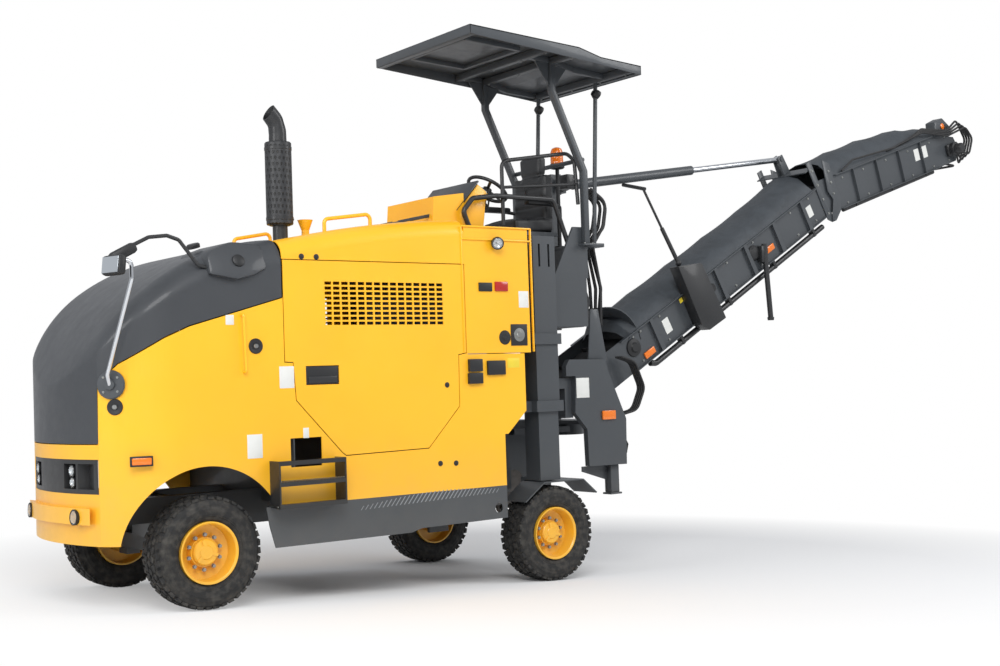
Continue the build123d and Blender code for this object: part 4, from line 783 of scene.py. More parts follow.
middle = sum((vert.co for vert in lip), Vector()) / len(lip)
for vert in lip:
    vert.co = middle + (vert.co - middle) * 0.9
lip_edges = [edge for edge in edges_of(lip) if all(vert in lip for vert in edge.verts)]
deeper = bmesh.ops.extrude_edge_only(shape, edges=lip_edges)["geom"]
bmesh.ops.translate(shape, verts=[item for item in deeper if isinstance(item, bmesh.types.BMVert)],
    vec=(-0.055, 0, -0.08))
outlet_pipe = finished("exhaust_outlet", shape, black_enamel, "frame")
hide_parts("exhaust_stack")
make("exhaust_core", moulded_black, "frame", (turned, (STACK_X, STACK_Y, 0), UP,
    [(0.0005, 2.985), (0.058, 2.984), (0.066, 2.978)], 40))

# ---------------------------------------------------------------- canopy
# A folded steel roof sheet on a welded frame, carried by two bent posts; thin rear stays carry
# small round lamps. The sheet kinks down over its rear third.
CANOPY_FRONT, CANOPY_REAR = -2.07, -3.715
CANOPY_Y0, CANOPY_Y1, CANOPY_SHEET = -0.4, 0.85, 0.008
CROSS_X = (-2.84, -3.09, -3.64)         # cross members under the sheet
HATCH_X, HATCH_Y = (-2.2, -2.7), (-0.1, 0.6)
POSTS_Y, STAYS_Y = (0.5, -0.36), (0.4, -0.33)
canopy_top = [(CANOPY_FRONT, 3.877), (-3.084, 3.831), (-3.302, 3.78), (CANOPY_REAR, 3.757)]
canopy_edge = [(CANOPY_REAR, 3.686), (-3.299, 3.722), (CANOPY_FRONT, 3.811)]


def canopy_under(x):
    """Underside of the roof sheet at x."""
    for (x0, z0), (x1, z1) in zip(canopy_top, canopy_top[1:]):
        if x1 <= x <= x0:
            return z0 + (z1 - z0) * (x - x0) / (x1 - x0) - CANOPY_SHEET


def canopy_rib(shape, x0, x1, y, half, drop):
    """A rib along the roof, hung under the sheet."""
    slab_xz(shape, [(x0, canopy_under(x0)), (x1, canopy_under(x1)), (x1, canopy_under(x1) - drop),
                    (x0, canopy_under(x0) - drop)], y - half, y + half, 0.003)


canopy = make(
    "canopy_sheet", grey_enamel, "frame",
    *[(slab_xz, [(x0, z0), (x1, z1), (x1, z1 - CANOPY_SHEET), (x0, z0 - CANOPY_SHEET)], CANOPY_Y0, CANOPY_Y1)
      for (x0, z0), (x1, z1) in zip(canopy_top, canopy_top[1:])],
    *[(slab_xz, canopy_top + canopy_edge, y, y + CANOPY_SHEET, 0.002) for y in (CANOPY_Y0, CANOPY_Y1 - CANOPY_SHEET)],
    *[(brick, (x, CANOPY_Y0, low), (x + CANOPY_SHEET, CANOPY_Y1, high), 0.002)
      for x, low, high in ((CANOPY_FRONT - CANOPY_SHEET, 3.811, 3.877), (CANOPY_REAR, 3.686, 3.757))],
    *[(brick, (x - 0.025, CANOPY_Y0 + 0.006, z), (x + 0.025, CANOPY_Y1 - 0.006, z + 0.006), 0.001)
      for x, z in ((-2.1, 3.807), (-3.69, 3.69))])
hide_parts("roof_panel")

post_outline = [(-3.41, 2.385), (-3.41, 2.96), (-3.115, 3.57), (-3.115, 3.8), (-3.065, 3.8), (-3.065, 3.56),
                (-3.36, 2.95), (-3.36, 2.385)]
gussets = [[(-3.06, 3.6), (-3.06, 3.78), (-2.93, 3.78)], [(-3.12, 3.6), (-3.12, 3.76), (-3.24, 3.75)]]
frame_piece = make(
    "canopy_frame", grey_enamel, "frame",
    *[(slab_xz, post_outline, y - 0.025, y + 0.025, 0.006) for y in POSTS_Y],
    *[(canopy_rib, x0, x1, y, 0.02, 0.045) for y in POSTS_Y
      for x0, x1 in ((-2.84, -3.06), (-3.12, -3.302), (-3.302, -3.64))],
    *[(slab_xz, gusset, y - 0.005, y + 0.005) for y in POSTS_Y for gusset in gussets],
    *[(brick, (-3.44, y - 0.045, 2.372), (-3.33, y + 0.045, 2.386), 0.003) for y in POSTS_Y],
    *[(brick, (x - 0.025, CANOPY_Y0 + 0.012, canopy_under(x) - 0.055),
       (x + 0.025, CANOPY_Y1 - 0.012, canopy_under(x - 0.02) - 0.001), 0.003) for x in CROSS_X],
    *[(brick, (x - 0.018, HATCH_Y[0], canopy_under(x) - 0.035),
       (x + 0.018, HATCH_Y[1], canopy_under(x - 0.02)), 0.003) for x in HATCH_X],
    *[(canopy_rib, *HATCH_X, y, 0.018, 0.035) for y in HATCH_Y],
    (tube, [(-3.385, POSTS_Y[1], 3.05), (-3.385, POSTS_Y[0], 3.05)], 0.018),
    *[(tube, [(-3.56, y, 2.385), (-3.634, y, 3.722)], 0.017) for y in STAYS_Y],
    *[(brick, (-3.6, y0, 2.37), (-3.42, y1, 2.4)) for y0, y1 in ((0.06, 0.476), (-0.336, -0.29))])
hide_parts("roof_frame")
make("canopy_bolts", zinc_plate, "frame",
     *[(bolts, [(x, y - 0.036, 2.386), (x, y + 0.036, 2.386)], UP, 0.009) for y in POSTS_Y for x in (-3.345, -3.425)],
     *[(bolts, [(x, y, canopy_under(x) - 0.055) for y in (-0.3, 0.1, 0.45, 0.75)], -UP, 0.008) for x in CROSS_X])
for index, y in enumerate(STAYS_Y):
    lamp(f"canopy_lamp_{index}", (-3.652, y, 3.6), (-1, 0, -0.5), 0.04, 0.05)

# ---------------------------------------------------------------- beacon
# An amber dome of ribbed acrylic on a moulded black base. Its pole stands on a small flange on
# the deck behind the seat.
BEACON_FOOT = (-3.47, 0.08, 0.0)
pole = make("beacon_base", moulded_black, "frame", (turned, BEACON_FOOT, UP, [
    (0.0005, 2.401), (0.045, 2.401), (0.045, 2.41), (0.017, 2.414), (0.016, 3.038), (0.05, 3.042), (0.06, 3.05),
    (0.06, 3.078), (0.05, 3.082), (0.0005, 3.083)], 36))
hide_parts("beacon")
make("beacon_dome", amber_acrylic, "frame", (turned, BEACON_FOOT, UP, [
    (0.052, 3.082), (0.053, 3.1), (0.051, 3.104), (0.053, 3.11), (0.051, 3.116), (0.053, 3.122), (0.051, 3.128),
    (0.052, 3.136), (0.05, 3.18), (0.04, 3.206), (0.018, 3.217), (0.0005, 3.219)], 36))

# ---------------------------------------------------------------- operator's controls
# A sloping cover plate closes over the instruments; it swings forward on two flat arms. Behind it
# stand a face of four dials and four levers. A bent guard tube runs round the seat.
LID_HINGE = TO_CHASSIS @ Vector([joint for joint in frame["joints"] if joint["name"] == "lid_tilt"][0]["pos_m"])
COVER_LOW, COVER_HIGH, COVER_THICK = Vector((-2.225, 0, 2.6)), Vector((-2.44, 0, 2.835)), 0.014
cover_rise = COVER_HIGH - COVER_LOW
cover_out = Vector((cover_rise.z, 0, -cover_rise.x)).normalized() * COVER_THICK
cover_outline = [(spot.x, spot.z) for spot in (COVER_LOW, COVER_HIGH, COVER_HIGH + cover_out, COVER_LOW + cover_out)]
arm_outline = [(LID_HINGE.x - 0.01, LID_HINGE.z), (LID_HINGE.x, LID_HINGE.z + 0.022), (-2.22, 2.622),
               (-2.29, 2.69), (-2.3, 2.676), (-2.226, 2.596)]
cover_plate = make(
    "instrument_cover", dark_enamel, "instrument_lid", (slab_xz, cover_outline, -0.2, 0.4, 0.004),
    *[(slab_xz, arm_outline, y - 0.006, y + 0.006, 0.002) for y in (-0.15, 0.35)],
    (round_bar, (LID_HINGE.x, -0.17, LID_HINGE.z + 0.006), (LID_HINGE.x, 0.37, LID_HINGE.z + 0.006), 0.01))
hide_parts("dash_lid")
make("instrument_wedge", yellow_enamel, "frame", (slab_xz, [
    (-2.232, 2.47), (-2.232, 2.588), (-2.44, 2.818), (-2.52, 2.765), (-2.48, 2.47)], -0.18, 0.38, 0.006))
make("instrument_face", zinc_plate, "frame", (slab_xz, [
    (-2.446, 2.812), (-2.524, 2.76), (-2.502, 2.56), (-2.496, 2.56), (-2.532, 2.768), (-2.448, 2.82)], -0.165, 0.365))
printed_dial, tree = new_material("printed_dial")       # a pale dial with dark specks for its markings
dial_speck = span(tree, noise(tree, object_point(tree), 160.0), 0.56, 0.6)
surface(tree, {"Roughness": 0.25, "Coat Weight": 0.7}, {"Base Color": blend(tree, dial_speck, "#0E0F10", "#DADCD8")})
for index, y in enumerate((-0.09, 0.03, 0.15, 0.27)):
    make(f"dial_{index}", printed_dial, "frame", (turned, (-2.527, y, 2.7), (-0.985, 0, 0.17), [
        (0.0005, 0.006), (0.03, 0.006), (0.034, 0.01), (0.038, 0.008), (0.038, 0.0)], 28))
make("control_levers", moulded_black, "frame", *[part for y in (-0.12, -0.05, 0.21, 0.28) for part in (
    (tube, [(-2.512, y, 2.61), (-2.6, y, 2.64), (-2.615, y, 2.72)], 0.007, 0.02), (ball, (-2.616, y, 2.73), 0.018))])
make("seat_guard", black_enamel, "frame",
     (tube, [(-2.64, 0.42, 2.515), (-2.64, 0.42, 3.0), (-3.29, 0.42, 3.105), (-3.345, 0.44, 3.05),
             (-3.345, 0.47, 2.7)], 0.015, 0.07),
     (tube, [(-2.64, 0.42, 2.8), (-3.35, 0.46, 2.86)], 0.012))
ARM_RESTS_Y = (-0.17, 0.372)
for index, y in enumerate(ARM_RESTS_Y):
    make(f"arm_rest_{index}", moulded_black, "frame",
         (brick, (-3.15, y - 0.035, 2.69), (-2.9, y + 0.035, 2.735), 0.014),
         (tube, [(-3.24, y, 2.6), (-3.24, y, 2.69), (-3.12, y, 2.7)], 0.014, 0.02))
make("joysticks", moulded_black, "frame", *[(turned, (-2.91, y, 2.735), UP, [
    (0.0005, 0.1), (0.016, 0.096), (0.02, 0.08), (0.014, 0.05), (0.012, 0.03), (0.03, 0.01), (0.032, 0.0)], 20)
    for y in ARM_RESTS_Y])

# ---------------------------------------------------------------- seat cushions
# Foam cushions sewn in black vinyl: crowned faces and sewn channels across the back and the seat.
# The cover is pressed out by air and settles to its seams.
vinyl, tree = new_material("grained_black_vinyl")       # satin black, with pores and soft folds
vinyl_at = object_point(tree)
vinyl_grain = node(tree, "ShaderNodeTexVoronoi", {"Scale": 420.0}, {"Vector": vinyl_at}).outputs["Distance"]
vinyl_fold = noise(tree, vinyl_at, 16.0, 4.0)
vinyl_height = arithmetic(tree, "MULTIPLY_ADD", vinyl_grain, 0.25, vinyl_fold)
# The colour follows the soft folds, darker in their hollows and lighter on their crowns: painted shade of the folds.
surface(tree, {"Roughness": 0.48}, {"Base Color": blend(tree, vinyl_fold, "#18191B", "#2A2B2D"),
                                    "Normal": relief(tree, vinyl_height, 0.35, 0.002)})
COVER_GRID, CLOTH_FRAMES = 0.012, 20
SWELL = 0.01                            # the most that the cloth may move out
SEAM_DEPTH, SEAM_HALF = 0.007, 0.014
BACK_SEAMS_Z, SEAT_SEAMS_X = (2.7, 2.77, 2.84), (-3.06, -2.97)
BACK_FACE_X, BACK_FACE_Z = (-3.19, -3.14), (2.62, 2.93)     # where the back cushion's front face lies
SEAT_TOP_Z, SEAT_BACK_X = 2.57, -3.13                       # the seat cushion lies above and ahead of these


def applied(piece):
    """Makes a piece's modifiers its own mesh."""
    piece.data = bpy.data.meshes.new_from_object(piece.evaluated_get(bpy.context.evaluated_depsgraph_get()))
    piece.modifiers.clear()


seat_shape = bmesh.new()
seat_shape.from_mesh(frame["nodes"]["seat_cushions"].data)
bmesh.ops.remove_doubles(seat_shape, verts=seat_shape.verts[:], dist=SAME_PLACE)
seat_data = bpy.data.meshes.new("seat_cushion_covers")
seat_shape.to_mesh(seat_data)
seat_shape.free()
seat_covers = bpy.data.objects.new("seat_cushion_covers", seat_data)
studio.collection.objects.link(seat_covers)
regrid = seat_covers.modifiers.new("regrid", "REMESH")
regrid.mode = "VOXEL"
regrid.voxel_size = COVER_GRID
applied(seat_covers)
seat_covers.data.materials.clear()
seat_covers.data.materials.append(vinyl)
start_places = [vert.co.copy() for vert in seat_covers.data.vertices]
cloth = seat_covers.modifiers.new("inflate", "CLOTH")
cloth.settings.use_pressure = True
cloth.settings.uniform_pressure_force = 4.0
cloth.settings.quality = 5
cloth.settings.tension_stiffness = 20
cloth.settings.compression_stiffness = 20
cloth.settings.bending_stiffness = 2.0
cloth.settings.effector_weights.gravity = 0.0
cloth.point_cache.frame_start = 1
cloth.point_cache.frame_end = CLOTH_FRAMES
for number in range(1, CLOTH_FRAMES + 1):
    studio.frame_set(number)
applied(seat_covers)
studio.frame_set(1)
for vert, start_at in zip(seat_covers.data.vertices, start_places):
    moved = vert.co - start_at
    if moved.length > SWELL:
        moved = moved.normalized() * SWELL
    vert.co = start_at + moved
for vert in seat_covers.data.vertices:
    local = TO_CHASSIS @ vert.co
    if BACK_FACE_X[0] < local.x < BACK_FACE_X[1] and BACK_FACE_Z[0] < local.z < BACK_FACE_Z[1]:
        seam = min(abs(local.z - height) for height in BACK_SEAMS_Z)
        vert.co -= (CHASSIS.to_3x3() @ Vector((SEAM_DEPTH, 0, 0))) * max(0.0, 1 - seam / SEAM_HALF)
    if local.z > SEAT_TOP_Z and local.x > SEAT_BACK_X:
        seam = min(abs(local.x - across) for across in SEAT_SEAMS_X)
        vert.co -= (CHASSIS.to_3x3() @ Vector((0, 0, SEAM_DEPTH))) * max(0.0, 1 - seam / SEAM_HALF)
for face in seat_covers.data.polygons:
    face.use_smooth = True
softer = seat_covers.modifiers.new("soften", "SUBSURF")
softer.levels = softer.render_levels = 1
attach(seat_covers, "frame")
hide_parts("seat_cushions")

# ---------------------------------------------------------------- loading conveyor
# Two folded sheet troughs joined at a fold pin. Posts and lips stiffen their sides, a rubberised
# cloth cover lies over hoops, and hydraulic lines run to the motor at the head roller.
rubber_cloth, tree = new_material("rubberised_cloth")   # dull and dark, creased and faintly woven
cloth_at = object_point(tree)
cloth_folds = noise(tree, cloth_at, 7.0, 5.0, Distortion=0.6)
cloth_height = arithmetic(tree, "MULTIPLY_ADD", noise(tree, cloth_at, 260.0), 0.12, cloth_folds)
# The colour follows the folds, darker in their hollows and lighter on their crowns: painted shade of the creases.
surface(tree, {"Roughness": 0.62}, {"Base Color": blend(tree, cloth_folds, "#2B2F33", "#454B51"),
                                    "Normal": relief(tree, cloth_height, 0.7, 0.012)})
worn_steel = plain("worn_bare_steel", "#6E6A66", 0.42, 0.9, grain=90.0, depth=0.0012, spread=0.25)  # scoured, patchy
belt_rubber = plain("ribbed_belt_rubber", "#1D1E1F", 0.8, grain=60.0, depth=0.002, spread=0.2)      # flat, chalky
dress("milling_drum", worn_steel)
dress("strut_rod", chrome_tube)


def section_line(origin, degrees):
    """A conveyor section's origin, its direction and the direction square to it."""
    turn = radians(degrees)
    return Vector(origin), Vector((-cos(turn), 0, sin(turn))), Vector((sin(turn), 0, cos(turn)))


def on(section, s, h, y=0.0):
    """The place s along a section and h above it."""
    spot = section[0] + section[1] * s + section[2] * h
    return Vector((spot.x, y, spot.z))


def route(section, *spots):
    """Places in a section's own measures: along it, above it and across."""
    return [on(section, *spot) for spot in spots]


def bar(s0, s1, h0, h1):
    """The outline of a straight bar, in a section's own measures."""
    return [(s0, h0), (s1, h0), (s1, h1), (s0, h1)]


def sheet(shape, section, table, y0, y1, bevel=0.0):
    """A plate cut to an outline in a section's own measures."""
    slab_xz(shape, [(on(section, s, h).x, on(section, s, h).z) for s, h in table], min(y0, y1), max(y0, y1), bevel)


def sides(shape, section, rows):
    """Plates on both side walls: rows of outline, depths out from the wall's face, and bevel."""
    for side in (1, -1):
        face = MID_Y + side * HALF_WIDE
        for table, near, far, *bevel in rows:
            sheet(shape, section, table, face + side * near, face + side * far, *bevel)


def cloth_cover(name, section, rows, body):
    """A cloth cover over hoops: rows of place, edge height, ridge height, sagging between them."""
    rings = []
    for (s0, edge0, ridge0), (s1, edge1, ridge1) in zip(rows, rows[1:]):
        for share in (0.0, 0.2, 0.4, 0.6, 0.8):
            ridge = ridge0 + (ridge1 - ridge0) * share - CLOTH_SAG * sin(pi * share)
            rings.append((s0 + (s1 - s0) * share, edge0 + (edge1 - edge0) * share, ridge))
    shape = bmesh.new()
    before = None
    for s, edge, ridge in rings + rows[-1:]:
        half = [(HALF_WIDE + CLOTH, edge - 0.03), (HALF_WIDE + CLOTH, edge), (0.19, edge + (ridge - edge) * 0.78),
                (0.08, ridge)]
        across = [(-y, h) for y, h in half] + half[::-1]
        ring = [shape.verts.new(on(section, s, h, MID_Y + y)) for y, h in across]
        if before:
            for corners in zip(before, before[1:], ring[1:], ring):
                shape.faces.new(corners)
        before = ring
    bmesh.ops.recalc_face_normals(shape, faces=shape.faces[:])
    bmesh.ops.solidify(shape, geom=shape.faces[:], thickness=CLOTH)
    return finished(name, shape, rubber_cloth, body, 50.0)


MID_Y, HALF_WIDE, WALL = -0.2, 0.3, 0.008
LEFT_FACE, RIGHT_FACE = MID_Y + HALF_WIDE, MID_Y - HALF_WIDE
CLOTH, CLOTH_SAG = 0.004, 0.012
LOW_EDGE, LOW_TOP, LOW_RIDGE = -0.115, 0.19, 0.335
UP_EDGE, UP_TOP = -0.115, 0.225
LOWER = section_line((-3.8, 0, 1.262), 29.2)
UPPER = section_line(LOWER[0] + LOWER[1] * 3.42, 17.5)
PIN_AT, EYE_AT = (3.423, -0.18), (3.36, 0.532)      # fold pin and strut eye on the lower section
LOW_POSTS, UP_POSTS = (0.78, 1.7, 2.15, 2.6, 3.05), (0.48, 0.86, 1.24, 1.62)

cloth_cover("lower_cover", LOWER, [(0.5, 0.15, 0.25)] + [(s, LOW_TOP, LOW_RIDGE) for s in (0.56, 1.1, 1.65, 2.2, 2.75)]
            + [(3.3, LOW_TOP, 0.37)], "lower_conveyor")
cloth_cover("upper_cover", UPPER, [(s, UP_TOP, ridge) for s, ridge in (
    (0.15, 0.385), (0.6, 0.405), (1.1, 0.41), (1.6, 0.385), (1.9, 0.33))], "upper_conveyor")

lower_trough = make(
    "lower_trough", grey_enamel, "lower_conveyor",
    (sides, LOWER, [
        ([(-0.06, LOW_EDGE), (-0.15, 0.0), (-0.15, LOW_TOP), (3.4, LOW_TOP), (3.4, LOW_EDGE)], 0.0, -WALL),
        *[(bar(0.4, 3.34, h, h + WALL), 0.0, 0.03) for h in (LOW_EDGE, LOW_TOP - WALL)],
        *[(bar(s, s + WALL, LOW_EDGE, LOW_TOP), 0.0, 0.026) for s in LOW_POSTS],
        *[([(s, LOW_EDGE), (s + 0.05, LOW_EDGE), (s + 0.04, LOW_TOP), (s, LOW_TOP)], 0.022, 0.028) for s in LOW_POSTS],
        ([(3.35, -0.15), (3.35, 0.44), (3.418, 0.44), (3.418, -0.09), (3.444, -0.15), (3.444, -0.2), (3.4, -0.2)],
         0.0, 0.012, 0.003)]),
    *[part for side in (1, -1) for part in (
        (sheet, LOWER, [(3.31, 0.376), (3.325, 0.565), (3.395, 0.565), (3.41, 0.376)], MID_Y + side * 0.026,
         MID_Y + side * 0.04, 0.002),
        (round_bar, on(LOWER, *EYE_AT, MID_Y + side * 0.04), on(LOWER, *EYE_AT, MID_Y + side * 0.05), 0.022),
        (round_bar, on(LOWER, *PIN_AT, MID_Y + side * HALF_WIDE),
         on(LOWER, *PIN_AT, MID_Y + side * (HALF_WIDE + 0.03)), 0.014))],
    (sheet, LOWER, bar(3.3, 3.418, 0.368, 0.378), RIGHT_FACE, LEFT_FACE),
    *[(sheet, LOWER, bar(s, s + 0.04, LOW_EDGE, LOW_EDGE + 0.04), RIGHT_FACE + 0.002, LEFT_FACE - 0.002)
      for s in (0.3, 0.9, 1.5, 2.1, 2.7, 3.2)])
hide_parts("conveyor_lower")

pin_s, pin_h = [(on(LOWER, *PIN_AT) - UPPER[0]).dot(direction) for direction in UPPER[1:]]
upper_trough = make(
    "upper_trough", grey_enamel, "upper_conveyor",
    (sides, UPPER, [
        ([(0.034, UP_EDGE), (-0.044, UP_TOP), (1.95, UP_TOP), (2.24, 0.13), (2.28, 0.02), (2.2, UP_EDGE)], 0.0, -WALL),
        *[(bar(0.2, 1.9, h, h + WALL), 0.0, 0.03) for h in (UP_EDGE, UP_TOP - WALL)],
        *[(bar(s, s + WALL, UP_EDGE, UP_TOP), 0.0, 0.028) for s in UP_POSTS],
        ([(pin_s - 0.024, pin_h + 0.014), (pin_s - 0.024, pin_h - 0.02), (pin_s + 0.024, pin_h - 0.02),
          (0.17, UP_EDGE), (0.2, 0.02), (0.17, 0.12), (0.15, 0.35), (0.06, 0.4), (0.04, 0.1), (0.09, 0.005)],
         0.014, 0.026, 0.003),
        (bar(0.1, 0.16, UP_EDGE, 0.1), -0.001, 0.016)]),
    *[(sheet, UPPER, bar(s, s + 0.04, UP_EDGE, UP_EDGE + 0.03), RIGHT_FACE + 0.002, LEFT_FACE - 0.002)
      for s in (0.26, 0.74, 1.22, 1.7)])
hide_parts("conveyor_upper")

make("lower_bolts", zinc_plate, "lower_conveyor",
     (bolts, route(LOWER, *[(s, h, LEFT_FACE) for s in (0.56, 0.66, 0.92, 1.58, 1.9, 2.3, 2.9, 3.2)
                            for h in (-0.08, 0.15)]), LEFT, 0.01),
     (bolts, route(LOWER, *[(3.385, h, LEFT_FACE + 0.012) for h in (-0.1, 0.05, 0.2, 0.35)]), LEFT, 0.011))
make("upper_bolts", zinc_plate, "upper_conveyor",
     (bolts, route(UPPER, *[(s, h, LEFT_FACE) for s in (0.32, 0.66, 1.04, 1.42, 1.8, 2.08)
                            for h in (0.17, -0.08)]), LEFT, 0.01),
     (bolts, route(UPPER, *[(0.11, h, LEFT_FACE + 0.026) for h in (0.06, 0.17, 0.28)]), LEFT, 0.011))

# Belts with cleats, their rollers, and the pipes under the troughs
BELT_HALF, CLEAT_HALF, CLEAT_PITCH = 0.26, 0.24, 0.3
for name, section, s0, s1, body in (("lower_belt", LOWER, 0.02, 3.26, "lower_conveyor"),
                                    ("upper_belt", UPPER, 0.16, 2.14, "upper_conveyor")):
    cleats = [s0 + 0.1 + number * CLEAT_PITCH for number in range(12)]
    make(name, belt_rubber, body,
         *[(sheet, section, bar(s0, s1, h, h + 0.01), MID_Y - BELT_HALF, MID_Y + BELT_HALF) for h in (0.095, -0.06)],
         *[(round_bar, on(section, s, 0.022, MID_Y - BELT_HALF), on(section, s, 0.022, MID_Y + BELT_HALF), 0.083,
            None, 32) for s in (s0, s1)],
         *[(sheet, section, [(s, 0.105), (s + 0.02, 0.105), (s + 0.014, 0.135), (s + 0.006, 0.135)],
            MID_Y - CLEAT_HALF, MID_Y + CLEAT_HALF) for s in cleats if s < s1 - 0.05])
make("under_pipe", black_enamel, "lower_conveyor",
     (tube, route(LOWER, (0.64, -0.15, 0.07), (0.7, -0.185, 0.07), (3.28, -0.185, 0.07)), 0.026, 0.05),
     *[(sheet, LOWER, bar(s, s + 0.03, -0.205, LOW_EDGE + 0.01), 0.04, 0.098) for s in (1.05, 1.75, 2.45, 3.1)])
make("upper_under_pipe", black_enamel, "upper_conveyor",
     (tube, route(UPPER, (0.26, -0.135, 0.07), (1.8, -0.135, 0.07)), 0.022),
     *[(sheet, UPPER, bar(s, s + 0.03, -0.15, UP_EDGE + 0.01), 0.045, 0.098) for s in (0.45, 1.05, 1.65)])

# Side box, its stay and the small fittings of the left side
make("side_box", black_enamel, "lower_conveyor", (slab_xz, [
    (-4.668, 2.262), (-4.96, 2.3), (-5.238, 1.822), (-5.03, 1.716), (-4.93, 1.76)], 0.101, 0.215, 0.008))
make("side_box_stay", black_enamel, "lower_conveyor", (round_bar, (-4.43, 0.07, 2.93), (-4.6, 0.1, 2.6), 0.011),
     (round_bar, (-4.6, 0.1, 2.6), (-4.744, 0.13, 2.316), 0.018), (ball, (-4.752, 0.132, 2.3), 0.028))
make("strut_bracket", black_enamel, "strut", (round_bar, (-4.43, 0.09, 2.93), (-4.415, -0.17, 3.0), 0.016))
make("lower_side_covers", moulded_black, "lower_conveyor",
     (turned, on(LOWER, 0.52, 0.07, LEFT_FACE), LEFT,
      [(0.0005, 0.03), (0.035, 0.03), (0.045, 0.018), (0.075, 0.012), (0.08, 0.0)], 32),
     (turned, on(LOWER, 1.62, 0.045, LEFT_FACE), LEFT, [(0.0005, 0.012), (0.034, 0.012), (0.04, 0.0)], 28),
     (turned, on(LOWER, 2.26, 0.06, LEFT_FACE), LEFT, [(0.0005, 0.03), (0.05, 0.026), (0.07, 0.01), (0.072, 0.0)], 32))
make("prop_leg", black_enamel, "lower_conveyor", (round_bar, (-5.833, 0.15, 2.5), (-5.884, 0.15, 1.83), 0.024),
     (round_bar, (-5.884, 0.15, 1.83), (-5.884, 0.15, 1.802), 0.032, 0.028),
     (brick, (-5.875, 0.1, 2.33), (-5.79, 0.16, 2.48), 0.006))
HOOD_AT, HOOD_OUT, HOOD_IN = (-3.96, 1.56), 0.36, 0.352
hood_turns = [radians(14 + 9 * step) for step in range(10)]
shape = bmesh.new()
for first, second in zip(hood_turns, hood_turns[1:]):
    slab_xz(shape, [(HOOD_AT[0] - cos(turn) * size, HOOD_AT[1] + sin(turn) * size) for turn, size in (
        (first, HOOD_OUT), (second, HOOD_OUT), (second, HOOD_IN), (first, HOOD_IN))], MID_Y - 0.28, LEFT_FACE)
bmesh.ops.remove_doubles(shape, verts=shape.verts[:], dist=0.00005)
finished("entry_hood", shape, grey_enamel, "lower_conveyor")
for index, (s, h) in enumerate(((0.59, -0.085), (2.4, -0.03))):
    make(f"conveyor_marker_{index}", amber_acrylic, "lower_conveyor",
         (sheet, LOWER, bar(s, s + 0.13, h, h + 0.055), 0.101, 0.116, 0.005))
for index, (section, s, h, tall, finish) in enumerate((
        (LOWER, 0.92, -0.03, 0.13, blank_plate), (LOWER, 3.12, -0.02, 0.11, blank_plate),
        (UPPER, 1.66, 0.04, 0.12, blank_plate), (UPPER, 1.52, 0.04, 0.12, blank_plate),
        (LOWER, 1.2, 0.12, 0.06, yellow_plate))):
    make(f"conveyor_plate_{index}", finish, "lower_conveyor" if section is LOWER else "upper_conveyor",
         (sheet, section, bar(s, s + 0.08, h, h + tall), LEFT_FACE, LEFT_FACE + 0.0025))

# Head end: drive motor, bearing blocks, lamp pod and hydraulic lines
make("head_drive", black_enamel, "upper_conveyor", (sides, UPPER, [(bar(2.06, 2.24, -0.04, 0.08), 0.0, 0.036, 0.008)]),
     (turned, on(UPPER, 2.14, 0.022, 0.136), LEFT, [
         (0.0005, 0.12), (0.04, 0.118), (0.048, 0.105), (0.048, 0.045), (0.066, 0.04), (0.066, 0.0)], 28))
make("head_pod", grey_enamel, "upper_conveyor", (sheet, UPPER, [
    (1.96, 0.235), (1.985, 0.35), (2.13, 0.362), (2.23, 0.25), (2.21, 0.2), (1.96, 0.2)], -0.02, LEFT_FACE, 0.012))
lamp("head_pod_lamp", on(UPPER, 2.1, 0.28, 0.102), (0, 1, 0.1), 0.04, 0.02, "upper_conveyor", amber_acrylic)
make("head_hoses", hose_rubber, "upper_conveyor",
     *[(tube, route(UPPER, (1.1 + index * 0.1, 0.245, 0.085 - lift * 0.2), (1.7, 0.3 + lift * 0.4, 0.12),
                    (2.02, 0.18 + lift * 0.6, 0.19), (2.34, 0.2 + lift, 0.2 - lift), (2.42, 0.06, 0.2 - lift),
                    (2.3 - lift, -0.09 - lift, 0.2 - lift), (2.12, 0.0, 0.21 - lift * 0.3)), 0.011, 0.07)
       for index, lift in enumerate((0.0, 0.03, 0.06, 0.09))],
     (tube, route(UPPER, (0.3, 0.235, 0.13), (0.5, 0.3, 0.13), (1.2, 0.26, 0.135)), 0.01, 0.05),
     (tube, route(UPPER, (2.05, -0.11, 0.06), (2.22, -0.17, 0.06), (2.2, -0.17, -0.3)), 0.012, 0.05))
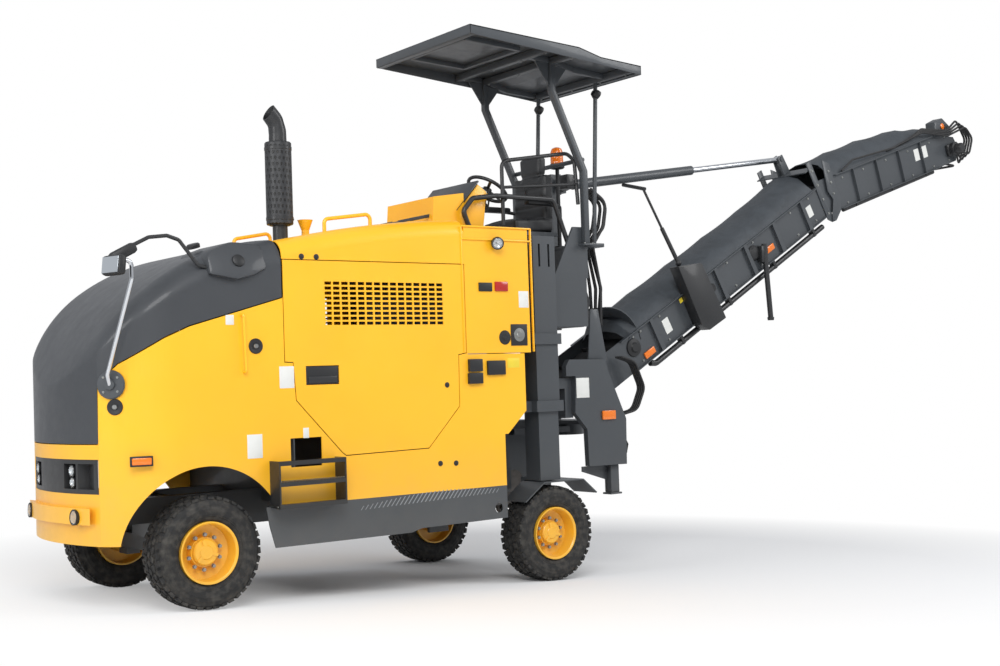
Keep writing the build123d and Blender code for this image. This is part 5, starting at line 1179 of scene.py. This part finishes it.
make("entry_hoses", hose_rubber, "slew", *[
    (tube, [(-3.98, y, 1.5), (-4.09, y + 0.04, 1.46), (-4.19, y + 0.04, 1.24), (-4.11, y + 0.03, 1.06),
            (-3.88, y, 1.01)], 0.01, 0.1) for y in (0.138, 0.162, 0.186, 0.21)])
make("tower_hoses", hose_rubber, "frame", *[
    (tube, [(-3.64, y, 2.86), (-3.78 - out, y, 2.76), (-3.74 - out, y, 2.56), (-3.64, y, 2.4), (-3.69 - out, y, 2.06),
            (-3.7, y, 1.76)], 0.014, 0.1) for y, out in ((0.18, 0.0), (0.215, 0.03), (0.25, 0.055), (0.285, 0.02))])
swivel_ends = [Vector((-3.72, y, 2.962)) for y in (-0.29, -0.11)]
make("swivel_head", black_enamel, "swivel", (round_bar, *swivel_ends, 0.06, None, 28, 0.006),
     *[(turned, end, out, [(0.0005, 0.03), (0.03, 0.028), (0.036, 0.0)], 24)
       for end, out in zip(swivel_ends, (-LEFT, LEFT))],
     (brick, (-3.7, -0.1, 2.9), (-3.62, 0.02, 3.02), 0.01))

# ---------------------------------------------------------------- rear left guard
# The folded guard behind the lifting leg carries a marker and a blank plate; under it hang a
# rubber flap and a square post.
GUARD_FACE = 0.45
make("guard_marker", amber_acrylic, "frame",
     (brick, (-3.667, GUARD_FACE, 1.003), (-3.53, GUARD_FACE + 0.018, 1.074), 0.006))
make("guard_plate", blank_plate, "frame", (brick, (-3.407, GUARD_FACE, 1.184), (-3.277, GUARD_FACE + 0.0025, 1.34)))
make("guard_post", grey_enamel, "frame", (brick, (-3.73, 0.33, 0.42), (-3.64, 0.41, 0.64), 0.008),
     (brick, (-3.745, 0.32, 0.405), (-3.625, 0.42, 0.42)),
     (slab_xz, [(-3.385, 0.64), (-3.385, 0.6), (-3.64, 0.52), (-3.64, 0.64)], 0.35, 0.36),
     (slab_xz, [(-3.64, 1.47), (-3.56, 1.88), (-3.48, 1.88), (-3.44, 1.47)], 0.405, 0.417, 0.004))
make("guard_flap", belt_rubber, "frame",
     (slab_xz, [(-3.792, 0.975), (-3.905, 0.79), (-3.884, 0.715), (-3.792, 0.74)], 0.33, 0.342, 0.003))
